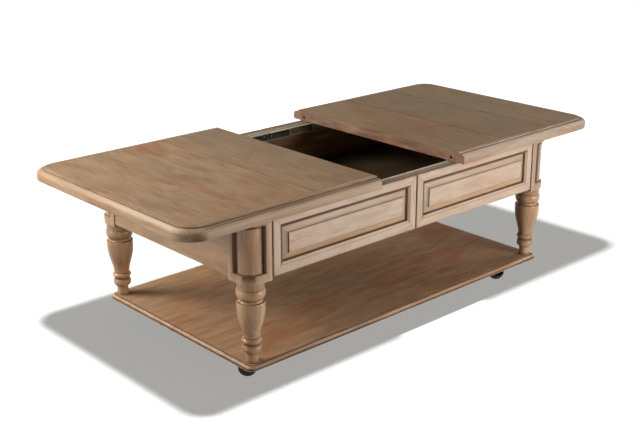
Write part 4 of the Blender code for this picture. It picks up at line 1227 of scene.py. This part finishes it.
class TABLE_OT_case(bpy.types.Operator):
    """Make the aprons and the well floor"""
    bl_idname = "coffee_table.case"
    bl_label = "Case boards"

    def execute(self, context):
        for face, side_y in SIDES_Y.items():
            node = f"{face}_apron"
            low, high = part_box(node)
            inner = inner_of(low.y, high.y, side_y)
            mesh = self.parted_at(eased_node(node, BOARD_EASE), inner + side_y * HIGHLIGHT_EDGE)
            for side in mesh.polygons:
                if side.center.z > high.z - TOP_SKIN:
                    # Faces along the well take the painted highlight
                    side.material_index = 2 if abs(side.center.y - inner) < HIGHLIGHT_EDGE else 1
            new_piece(f"{face}_wall", mesh, ["inner boards", "apron tops", "worn edge"], "base",
                      [node])
        for end in SIDES_X:
            node = f"{end}_end_apron"
            new_piece(f"{end}_wall", eased_node(node, END_EASE), ["end aprons"], "base",
                      [node])
        new_piece("well_board", eased_node("well_floor", BOARD_EASE), ["well floor"], "base",
                  ["well_floor"])
        return {"FINISHED"}

    def parted_at(self, mesh, y):
        """A mesh with its faces parted along a plane across Y."""
        solid = bmesh.new()
        solid.from_mesh(mesh)
        everything = solid.verts[:] + solid.edges[:] + solid.faces[:]
        bmesh.ops.bisect_plane(solid, geom=everything, plane_co=(0.0, y, 0.0),
                               plane_no=(0.0, 1.0, 0.0))
        return plain_mesh(solid, mesh)


# Legs and columns

# How far the notch's darkening reaches past its walls, partly glaze and partly painted shade, and the
# paler rim of the notch
NOTCH_REACH = 0.0012
NOTCH_RIM = 0.003

# How the columns differ from the left end to the right: how far round the painted shade reaches, wider
# on the right where the stile shades the column, and stains, the right ones a paler copy that is partly
# painted light
FLANKS = {"left": 1.5, "right": 2.1}
COLUMN_STAINS = {"left": "legs", "right": "pale posts"}
POST_STAINS = {"left": "posts", "right": "pale posts"}

# Sides of a column's round, and over how many of them its glaze fades
COLUMN_STEPS = 48
FADE_STEPS = 6


def swell(radius, edge, top, height, steps, glaze):
    """A bead or hollow between two edges of equal radius, as (radius, height, glaze)."""
    return [(edge + (radius - edge) * math.sin(math.pi * along), top - height * along,
             glaze if along in (0.0, 1.0) else 0.0) for along in shares(steps)]


def leg_profile(look, post_bottom, shelf_top):
    """The turning from its post down to the shelf, as (radius, height, glaze)."""
    neck, cove, shoulder = look.neck_radius, look.cove_foot, look.shoulder_radius
    waist, groove, cup, ankle = look.waist_radius, look.groove_radius, look.cup_radius, look.ankle_radius
    top = post_bottom
    flare = look.post_size / 2 - 0.0004 - neck
    points = [(neck, top + 0.004, 0.0)]
    points += [(neck + flare * (1 - down), top - 0.0003 - look.tongue_height * out, 0.2 * out)
               for out, down in quarter(6)]
    top -= look.tongue_height + look.neck_height
    points += [(neck, top + 0.0042, 0.15), (neck + 0.0007, top + 0.0036, 0.0),
               (neck + 0.0008, top + 0.0014, 0.0), (neck - 0.0006, top + 0.0005, 0.75)]
    points += swell(look.bead_radius, neck, top, look.bead_height, 16, 0.75)
    top -= look.bead_height
    points += [(neck + (cove - neck) * along - look.cove_depth * math.sin(math.pi * along),
                top - look.cove_height * along, 0.35 * (1 - along) ** 4) for along in shares(10)[1:]]
    top -= look.cove_height
    points += [(cove - 0.0002, top - 0.0003, 0.95), (cove + 0.0012, top - 0.0005, 0.9),
               (shoulder - 0.0022, top - 0.0004, 0.2), (shoulder - 0.0007, top - 0.0010, 0.0),
               (shoulder, top - 0.0024, 0.0)]
    top -= look.shoulder_height
    vase_low = shelf_top + look.ankle_height + look.cup_height + look.groove_height + look.ring_height
    for along in shares(24):
        fall = 0.5 + 0.5 * math.cos(math.pi * along ** look.vase_sharpness)
        points.append((waist + (shoulder - waist) * fall, top - (top - vase_low) * along,
                       0.6 if along == 1.0 else 0.0))
    points += swell(look.ring_radius, waist, vase_low, look.ring_height, 12, 0.5)[1:]
    top = vase_low - look.ring_height
    points.append((groove, top - look.groove_height / 2, 0.75))
    top -= look.groove_height
    points += [(groove + (cup - groove) * up, top - look.cup_brow * out, 0.5 * (1 - up))
               for out, up in quarter(6)]
    top -= look.cup_brow
    points += [(ankle + (cup - ankle) * (1 - out), top - (look.cup_height - look.cup_brow) * up,
                0.45 * out ** 4) for out, up in quarter(8)[1:]]
    points += [(ankle, shelf_top + look.ankle_height * 0.8, 0.05),
               (ankle + 0.0003, shelf_top + look.ankle_height * 0.4, 0.05),
               (look.foot_radius, shelf_top + 0.0008, 0.55),
               (look.foot_radius - 0.0005, shelf_top + 0.0003, 0.7)]
    return points


def post_mesh(look, axis, side_x, side_y, low, high):
    """The square post with its round outer corner, notched for the column."""
    half = look.post_size / 2
    wall = half - look.stile
    floor, ceiling = low + look.notch_floor, high - look.notch_ceiling
    outline = arc(0.0, 0.0, half, 0, 90, 24) + [(-half, half), (-half, -half), (half, -half)]
    solid = new_solid()
    loft(solid, [[((axis.x + side_x * x, axis.y + side_y * y, z), 0.0) for x, y in outline]
                 for z in (low, high)])
    block = bmesh.new()
    bmesh.ops.create_cube(block, size=1.0)
    far = half + CLEAR
    away = (far - wall) / 2
    middle = Vector((axis.x + side_x * away, axis.y + side_y * away, (floor + ceiling) / 2))
    size = Vector((far + wall, far + wall, ceiling - floor))
    bmesh.ops.transform(block, verts=block.verts, matrix=Matrix.LocRotScale(middle, None, size))
    mesh = shaped(to_mesh(solid), [to_mesh(block)], look.post_ease)
    glaze = mesh.attributes.get(GLAZE) or mesh.attributes.new(GLAZE, "FLOAT", "POINT")
    for corner in mesh.vertices:
        x, y = side_x * (corner.co.x - axis.x), side_y * (corner.co.y - axis.y)
        dark = 0.0
        if min(x, y) > -wall - NOTCH_REACH and floor - NOTCH_REACH < corner.co.z < ceiling + NOTCH_REACH:
            dark = 0.25 if half - max(x, y) < NOTCH_RIM else 0.9
        glaze.data[corner.index].value = dark
    return mesh


def column_mesh(look, axis, side_x, side_y, floor, ceiling, flank):
    """The corner column: a round bar with its hidden side cut square to the notch.

    Flank says how far round the painted shade, partly glaze, reaches from the notch.
    """
    wall = look.post_size / 2 - look.stile - 2 * SEAM
    radius = look.column_radius
    edge = math.degrees(math.acos(-wall / radius))
    outline = arc(0.0, 0.0, radius, 90 - edge, edge, COLUMN_STEPS) + [(-wall, -wall)]
    shades = [min(0.9, max(0.0, flank - min(step, COLUMN_STEPS - step) / FADE_STEPS))
              for step in range(COLUMN_STEPS + 1)] + [1.0]
    # The column darkens below the notch's ceiling, a painted shadow under it
    # Each station's height, its inset and its least glaze
    stations = ((floor, 0.0006, 0.85), (floor + 0.0006, 0.0, 0.8), (floor + 0.0025, 0.0, 0.3),
                (floor + 0.0045, 0.0, 0.0), (ceiling - 0.0070, 0.0, 0.0), (ceiling - 0.0045, 0.0, 0.9),
                (ceiling - 0.0006, 0.0, 1.0), (ceiling, 0.0006, 1.0))
    rings = []
    for z, inset, dark in stations:
        size = 1 - inset / radius
        rings.append([((axis.x + side_x * x * size, axis.y + side_y * y * size, z), max(dark, shade))
                      for (x, y), shade in zip(outline, shades)])
    solid = new_solid()
    loft(solid, rings)
    return to_mesh(solid)


class TABLE_OT_legs(bpy.types.Operator):
    """Turn the four legs and make their posts and corner columns"""
    bl_idname = "coffee_table.legs"
    bl_label = "Legs"

    def execute(self, context):
        look = looks().leg
        shelf_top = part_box("shelf")[1].z
        for face, end in CORNERS:
            tag, sides = f"{face}_{end}", (SIDES_X[end], SIDES_Y[face])
            low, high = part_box(f"leg_{tag}")
            foot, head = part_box(f"column_{tag}")
            axis = (low + high) / 2
            post_bottom = high.z - look.post_height
            turning = turned_mesh(leg_profile(look, post_bottom, shelf_top), look.segments, "legs",
                                  Matrix.Translation((axis.x, axis.y, 0.0)))
            post = post_mesh(look, axis, *sides, post_bottom, high.z)
            column = column_mesh(look, axis, *sides, foot.z, head.z, FLANKS[end])
            for kind, mesh, finish, node in (("turning", turning, "legs", f"leg_{tag}"),
                                             ("post", post, POST_STAINS[end], f"leg_{tag}"),
                                             ("column", column, COLUMN_STAINS[end], f"column_{tag}")):
                new_piece(f"{tag}_{kind}", mesh, [finish], "base", [node])
        return {"FINISHED"}


# Shelf

class TABLE_OT_shelf(bpy.types.Operator):
    """Make the shelf with its moulded edge"""
    bl_idname = "coffee_table.shelf"
    bl_label = "Shelf"

    def execute(self, context):
        look = looks().shelf
        low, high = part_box("shelf")
        half = (high - low) / 2
        rings = []
        for inset, height, glaze in self.edge_profile(look, low.z, high.z):
            outline = rounded_rectangle(half.x - inset, half.y - inset, look.corner_radius - inset, 12)
            rings.append([((x, y, height), glaze) for x, y in outline])
        solid = new_solid()
        for face in loft(solid, rings):
            middle = face.calc_center_median()
            margin = min(half.x - abs(middle.x), half.y - abs(middle.y))
            face.material_index = int(margin <= look.step_inset)
        new_piece("low_shelf", to_mesh(solid), ["shelf", "shelf edge"], "base", ["shelf"])
        return {"FINISHED"}

    def edge_profile(self, look, low, high):
        """The moulded edge as (inset, height, glaze), from the lower face to the upper one."""
        ease, quirk, step = look.ease, look.quirk, look.step_inset
        bead = low + look.bead_height
        round_low, round_high = bead + quirk, high - look.step_depth
        reach, rise = step - 2 * quirk, round_high - round_low
        edge = [(ease * (1 - up), low + ease * fall, 0.2 * (1 - fall)) for fall, up in quarter(4)]
        edge += [(0.0, bead - 0.0012, 0.0), (0.0004, bead - 0.0003, 0.8), (quirk, bead + 0.0002, 1.0),
                 (quirk, round_low, 1.0)]
        edge += [(quirk + reach * out, round_low + rise * up, max(0.8 * (1 - up) ** 2, 0.6 * out ** 4))
                 for out, up in quarter(8)[1:]]
        edge += [(step - 0.0004, round_high, 0.9), (step, round_high + 0.0003, 1.0),
                 (step + 0.0002, high - 0.0004, 0.7), (step + 0.0007, high, 0.3),
                 (step + 0.004, high, 0.0)]
        return edge


# Slides

# The steel pieces of each slide, with their finishes and slots
SLIDE_PIECES = (("slide_channel", ["rail steel", "flange steel"], "slide_steel"),
                ("slide_carriage", ["rail steel"], "slide_steel"),
                ("lid_angle", ["cage steel"], "cage_steel"))

# How far in from a cage's edge its balls run, and how deep a channel's pale flange is, a painted
# highlight
LANE_INSET = 0.0004
FLANGE_DEPTH = 0.0016

# Thickness of the steel behind screws, and how far in an angle's screws stand
CHANNEL_WALL = 0.0015
ANGLE_WALL = 0.002
PLATE_WALL = 0.003
ANGLE_SCREW_INSET = 0.010

# Top of a screw head, and the length and width of its slots, as shares of its radius
SCREW_CROWN = 0.66
SCREW_SLOT = (1.1, 0.22)
SCREW_SIDES = 28


def rows_tree():
    """Nodes that set a row of balls from each point, along X."""
    made = Growth("rows of balls", Count="Int", Pitch="Vector", Radius="Float")
    line = made.out("GeometryNodeMeshLine", {
        "Count": made.given["Count"], "Offset": made.given["Pitch"]})
    rows = made.on_points(made.given["Points"], line)
    spots = made.out("GeometryNodeRealizeInstances", {0: rows})
    ball = made.out("GeometryNodeMeshIcoSphere", {"Radius": made.given["Radius"], "Subdivisions": 3})
    return made.close(made.on_points(spots, ball))


def screws_tree():
    """Nodes that set a cross-headed screw on each point, facing the way that it says."""
    made = Growth("screws", Radius="Float", Height="Float")
    radius, height = made.given["Radius"], made.given["Height"]
    head = made.out("GeometryNodeMeshCone", {
        "Vertices": SCREW_SIDES, "Side Segments": 1, "Depth": height, "Radius Bottom": radius,
        "Radius Top": made.maths("MULTIPLY", radius, SCREW_CROWN)})
    cross = made.node("GeometryNodeMeshBoolean", operation="DIFFERENCE")
    made.give(cross.inputs["Mesh 1"], head)
    up = made.out("ShaderNodeCombineXYZ", {2: height})
    for parts in (SCREW_SLOT, SCREW_SLOT[::-1]):
        across, along = (made.maths("MULTIPLY", radius, part) for part in parts)
        size = made.out("ShaderNodeCombineXYZ", {0: across, 1: along, 2: height})
        bar = made.out("GeometryNodeMeshCube", {"Size": size})
        lifted = made.out("GeometryNodeTransform", {"Geometry": bar, "Translation": up})
        made.give(cross.inputs["Mesh 2"], lifted)
    turn = made.out("FunctionNodeAlignRotationToVector", {
        "Vector": made.attribute(FACING, "FLOAT_VECTOR")}, axis="Z")
    return made.close(made.on_points(made.given["Points"], cross.outputs["Mesh"], Rotation=turn))


def spaced(first, limit, pitch):
    """Distances from the first one to a limit, a pitch apart."""
    found = []
    while first < limit:
        found.append(first)
        first += pitch
    return found


class TABLE_OT_slides(bpy.types.Operator):
    """Make the rails, ball cages, balls and lid angles of the four slides"""
    bl_idname = "coffee_table.slides"
    bl_label = "Slides"

    def execute(self, context):
        look = looks().slide
        tree = rows_tree()
        for end, side_x in SIDES_X.items():
            starts = []
            for face in SIDES_Y:
                tag = f"{face}_{end}"
                for kind, finishes, slot in SLIDE_PIECES:
                    node = f"{kind}_{tag}"
                    mesh = eased_node(node, look.steel_ease)
                    if kind == "slide_channel":
                        self.brighten_flanges(mesh, *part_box(node))
                    new_piece(f"{tag}_{kind}", mesh, finishes, body_of(node), [node])
                low, high = self.make_cage(look, tag, side_x)
                start = inner_of(low.x, high.x, side_x) + side_x * look.ball_end
                starts += [(start, (low.y + high.y) / 2, lane)
                           for lane in (low.z + LANE_INSET, high.z - LANE_INSET)]
            row = high.x - low.x - 2 * look.ball_end
            balls = grown(tree, starts, [], {
                "Count": int(row / look.ball_pitch) + 1, "Radius": look.ball_radius,
                "Pitch": (side_x * look.ball_pitch, 0.0, 0.0), "Finish": finish_named("ball steel")})
            new_piece(f"{end}_slide_balls", balls, ["ball steel"], f"{end}_ball_cages")
        return {"FINISHED"}

    def brighten_flanges(self, mesh, low, high):
        """Give a channel's flanges the second finish, pale as a painted highlight where they catch the
        light.
        """
        for face in mesh.polygons:
            depth = min(face.center.z - low.z, high.z - face.center.z)
            face.material_index = int(depth < FLANGE_DEPTH)

    def make_cage(self, look, tag, side_x):
        """A ball cage with a hole near its inner end. Returns its box."""
        node = f"ball_cage_{tag}"
        low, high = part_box(node)
        middle = inner_of(low.x, high.x, side_x) + side_x * look.hole_end
        hole = cylinder(look.hole_radius, low.y - CLEAR, high.y + CLEAR, "Y",
                        (middle, 0.0, (low.z + high.z) / 2))
        mesh = eased_node(node, look.steel_ease / 2, 1, [hole])
        new_piece(f"{tag}_cage", mesh, ["cage steel"], body_of(node), [node])
        return low, high


class TABLE_OT_screws(bpy.types.Operator):
    """Set the fixing screws of the slides, the angles and the caster plates"""
    bl_idname = "coffee_table.screws"
    bl_label = "Screws"

    def execute(self, context):
        slide, caster = looks().slide, looks().caster
        tree = screws_tree()
        groups = {"base": [], "channel": [], "left_lid": [], "right_lid": []}
        for face, end in CORNERS:
            tag, side_x, side_y = f"{face}_{end}", SIDES_X[end], SIDES_Y[face]
            low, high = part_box(f"slide_channel_{tag}")
            inner = inner_of(low.x, high.x, side_x)
            web = outer_of(low.y, high.y, side_y) - side_y * (CHANNEL_WALL - SEAT)
            groups["channel"] += [
                ((inner + side_x * away, web, (low.z + high.z) / 2), (0, -side_y, 0))
                for away in spaced(slide.screw_end, high.x - low.x - slide.screw_end, slide.screw_pitch)]
            low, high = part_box(f"lid_angle_{tag}")
            row = inner_of(low.y, high.y, side_y) + side_y * ANGLE_SCREW_INSET
            groups[f"{end}_lid"] += [
                ((low.x + away, row, high.z - ANGLE_WALL + SEAT), (0, 0, -1))
                for away in spaced(slide.screw_end, high.x - low.x, slide.screw_pitch / 2)]
            low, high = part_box(f"caster_plate_{tag}")
            inset = caster.screw_inset
            groups["base"] += [((x, y, high.z - PLATE_WALL + SEAT), (0, 0, -1))
                               for x in (low.x + inset, high.x - inset)
                               for y in (low.y + inset, high.y - inset)]
        for group, screws in groups.items():
            body, height = group, slide.screw_height
            if group == "channel":
                body, height = "base", slide.flush_height
            ways = [part for spot, way in screws for part in way]
            mesh = grown(tree, [spot for spot, way in screws], [(FACING, "FLOAT_VECTOR", ways)], {
                "Radius": slide.screw_radius, "Height": height, "Finish": finish_named("ball steel")})
            new_piece(f"{group}_screws", mesh, ["ball steel"], body)
        return {"FINISHED"}


# Casters

class TABLE_OT_casters(bpy.types.Operator):
    """Make the wheels, housings and plates of the four casters"""
    bl_idname = "coffee_table.casters"
    bl_label = "Casters"

    def execute(self, context):
        look = looks().caster
        joints = {joint["name"]: joint for joint in frame["joints"]}
        for face, end in CORNERS:
            tag = f"{face}_{end}"
            roll = joints[f"roll_{tag}"]
            turn = Vector(roll["axis"]).to_track_quat("Z", "Y").to_matrix().to_4x4()
            seat = Matrix.Translation(Vector(roll["pos_m"])) @ turn
            wheels = turned_mesh(self.wheel_profile(look), look.segments, "tyres", seat)
            housing = eased_node(f"caster_housing_{tag}", look.housing_ease)
            plate = eased_node(f"caster_plate_{tag}", look.housing_ease / 2)
            for kind, mesh, finish, slot in (("wheels", wheels, "tyres", "caster_plastic"),
                                             ("housing", housing, "housings", "caster_plastic"),
                                             ("plate", plate, "plate steel", "caster_steel")):
                node = f"caster_{kind}_{tag}"
                new_piece(f"{tag}_{kind}", mesh, [finish], body_of(node), [node])
        return {"FINISHED"}

    def wheel_profile(self, look):
        """Both wheels and their axle as (radius, distance along it, glaze), running down."""
        inner = (look.wheel_spacing - look.wheel_width) / 2
        outer = (look.wheel_spacing + look.wheel_width) / 2
        edge, rim, tread = look.tread_round, look.wheel_radius - look.rim, look.wheel_radius
        hub, dish = look.hub_radius, outer - look.dish_depth
        wheel = [(hub - 0.0004, outer - 0.0001), (hub, outer - 0.0005), (hub + 0.0003, dish),
                 (rim - 0.0003, dish - 0.00005), (rim, outer - 0.0005), (rim + 0.0004, outer - 0.0001)]
        wheel += [(tread - edge * (1 - up), outer - edge * out) for out, up in quarter(5)]
        wheel += [(tread - edge * out, inner + edge * (1 - up)) for out, up in quarter(5)]
        half = [(0.0002, outer), *wheel, (look.axle_radius, inner - 0.0001)]
        other = [(radius, -along) for radius, along in reversed(half)]
        return [(radius, along, 0.0) for radius, along in half + other]


# Stage

# Where the lamps point, and each lamp's place, width and height
LAMP_TARGET = (0.0, 0.0, 0.35)
LAMPS = {
    "floor": ((-1.03, -0.55, 3.86), 0.26, 0.26),
    "overhead": ((-1.22, -0.63, 4.3), 0.35, 0.35),
    "low": ((0.7, -2.0, 0.35), 0.8, 0.5),
    "high_front": ((0.9, -1.8, 1.6), 1.0, 0.7),
    "near": ((-2.0, -1.2, 0.8), 0.8, 0.6),
    "left": ((-2.0, 0.3, 1.1), 1.0, 0.8),
    "rear_left": ((-2.5, 2.0, 1.7), 1.4, 1.0),
    "high_left": ((-1.6, 1.2, 1.8), 1.0, 0.8),
    "low_left": ((-2.6, 0.9, 0.9), 1.0, 0.8),
    "right": ((3.4, -0.6, 1.6), 1.4, 1.0),
}
LAMP_TINTS = {"right": (0.94, 1.0, 1.08)}

# How far the floor lies below the wheels, and its glow where it is seen
FLOOR_DROP = 0.0002
FLOOR_GLOW = (1.0, 1.0, 0.96, 1.0)


def floor_finish(look):
    """A white floor that keeps a flat grey shadow where it is seen."""
    made = Shading("white floor")
    made.tree.nodes.remove(made.shader)
    away = made.node("ShaderNodeVectorMath", {0: made.where()}, operation="LENGTH").outputs["Value"]
    bright = made.spread(away, look.floor_near, look.floor_far, look.floor_lift, 1.0)
    plain, shown = (made.out("ShaderNodeBsdfDiffuse", {"Color": opaque([level] * 3)})
                    for level in (look.floor_bounce, look.floor_tone))
    lift = made.out("ShaderNodeEmission", {"Color": FLOOR_GLOW, "Strength": bright})
    both = made.out("ShaderNodeAddShader", {0: shown, 1: lift})
    made.give(made.tree.nodes["Material Output"].inputs["Surface"],
              made.either(made.seen_directly(), plain, both))
    return made.material


def area_lamp(kind, watts, floor):
    """A soft box that lights either the floor alone or all but the floor."""
    name = f"{kind} lamp".replace("_", " ")
    spot, width, height = LAMPS[kind]
    lamp = bpy.data.lights.new(name, "AREA")
    lamp.energy = watts
    lamp.color = LAMP_TINTS.get(kind, WHITE[:3])
    lamp.shape = "RECTANGLE"
    lamp.size, lamp.size_y = width, height
    holder = placed(name, lamp)
    holder.visible_camera = False
    holder.location = spot
    way = Vector(LAMP_TARGET) - Vector(spot)
    holder.rotation_euler = way.to_track_quat("-Z", "Y").to_euler()
    receivers = bpy.data.collections.new(f"{name} receivers")
    receivers.objects.link(floor)
    holder.light_linking.receiver_collection = receivers
    linking = receivers.collection_objects[0].light_linking
    linking.link_state = "INCLUDE" if kind == "floor" else "EXCLUDE"


class TABLE_OT_stage(bpy.types.Operator):
    """Set the floor, the lamps and the camera"""
    bl_idname = "coffee_table.stage"
    bl_label = "Stage"

    def execute(self, context):
        look = looks().stage
        scene = context.scene
        solid = bmesh.new()
        bmesh.ops.create_grid(solid, x_segments=1, y_segments=1, size=look.floor_size / 2)
        floor = placed("floor", plain_mesh(solid))
        floor.data.materials.append(floor_finish(look))
        floor.location.z = CAD_LOW.z - FLOOR_DROP
        for kind in LAMPS:
            area_lamp(kind, getattr(look, f"{kind}_watts"), floor)
        scene.world = self.make_world(look)

        camera = placed("camera", bpy.data.cameras.new("camera"))
        camera.data.lens = look.lens
        camera.location = look.camera_place
        camera.rotation_euler = Vector(look.camera_forward).to_track_quat("-Z", "Y").to_euler()
        scene.camera = camera
        scene.view_settings.view_transform = "Standard"
        return {"FINISHED"}

    def make_world(self, look):
        """White to the camera, dark above in reflections, and a little even light elsewhere."""
        world = bpy.data.worlds.new("white surround")
        world.use_nodes = True
        made = Nodes(world.node_tree)
        sky = made.out("ShaderNodeBackground", {"Color": WHITE, "Strength": look.sky})
        way = made.node("ShaderNodeTexCoord").outputs["Generated"]
        height = made.node("ShaderNodeSeparateXYZ", {0: way}).outputs["Z"]
        rise = made.spread(height, 0.0, look.ceiling_rise, 1.0, look.ceiling_tone)
        shown = made.out("ShaderNodeBackground", {"Color": rise})
        white = made.out("ShaderNodeBackground", {"Color": WHITE})
        lit = made.either(made.seen_directly(), sky, shown)
        camera_ray = made.node("ShaderNodeLightPath").outputs["Is Camera Ray"]
        surface = made.tree.nodes["World Output"].inputs["Surface"]
        made.give(surface, made.either(camera_ray, lit, white))
        made.tree.nodes.remove(made.tree.nodes["Background"])
        return world


class TABLE_PT_pieces(bpy.types.Panel):
    """Lists the table's groups of pieces"""
    bl_idname = "TABLE_PT_pieces"
    bl_label = "Sliding Top Coffee Table"
    bl_space_type = "VIEW_3D"
    bl_region_type = "UI"
    bl_category = "Table"

    def draw(self, context):
        for operator in OPERATORS:
            self.layout.operator(operator.bl_idname)


OPERATORS = (TABLE_OT_lids, TABLE_OT_panels, TABLE_OT_case, TABLE_OT_legs, TABLE_OT_shelf,
             TABLE_OT_slides, TABLE_OT_screws, TABLE_OT_casters, TABLE_OT_stage)
CLASSES = (LidLooks, PanelLooks, LegLooks, ShelfLooks, SlideLooks, CasterLooks, FinishLooks,
           StageLooks, TableLooks, *OPERATORS, TABLE_PT_pieces)


def register():
    for item in CLASSES:
        bpy.utils.register_class(item)
    bpy.types.Scene.coffee_table = group("Coffee table", "Sizes and colours of the table", TableLooks)


def unregister():
    del bpy.types.Scene.coffee_table
    for item in reversed(CLASSES):
        bpy.utils.unregister_class(item)


def main():
    register()
    bpy.ops.coffee_table.lids()
    bpy.ops.coffee_table.panels()
    bpy.ops.coffee_table.case()
    bpy.ops.coffee_table.legs()
    bpy.ops.coffee_table.shelf()
    bpy.ops.coffee_table.slides()
    bpy.ops.coffee_table.screws()
    bpy.ops.coffee_table.casters()
    bpy.ops.coffee_table.stage()


if __name__ == "__main__":
    main()
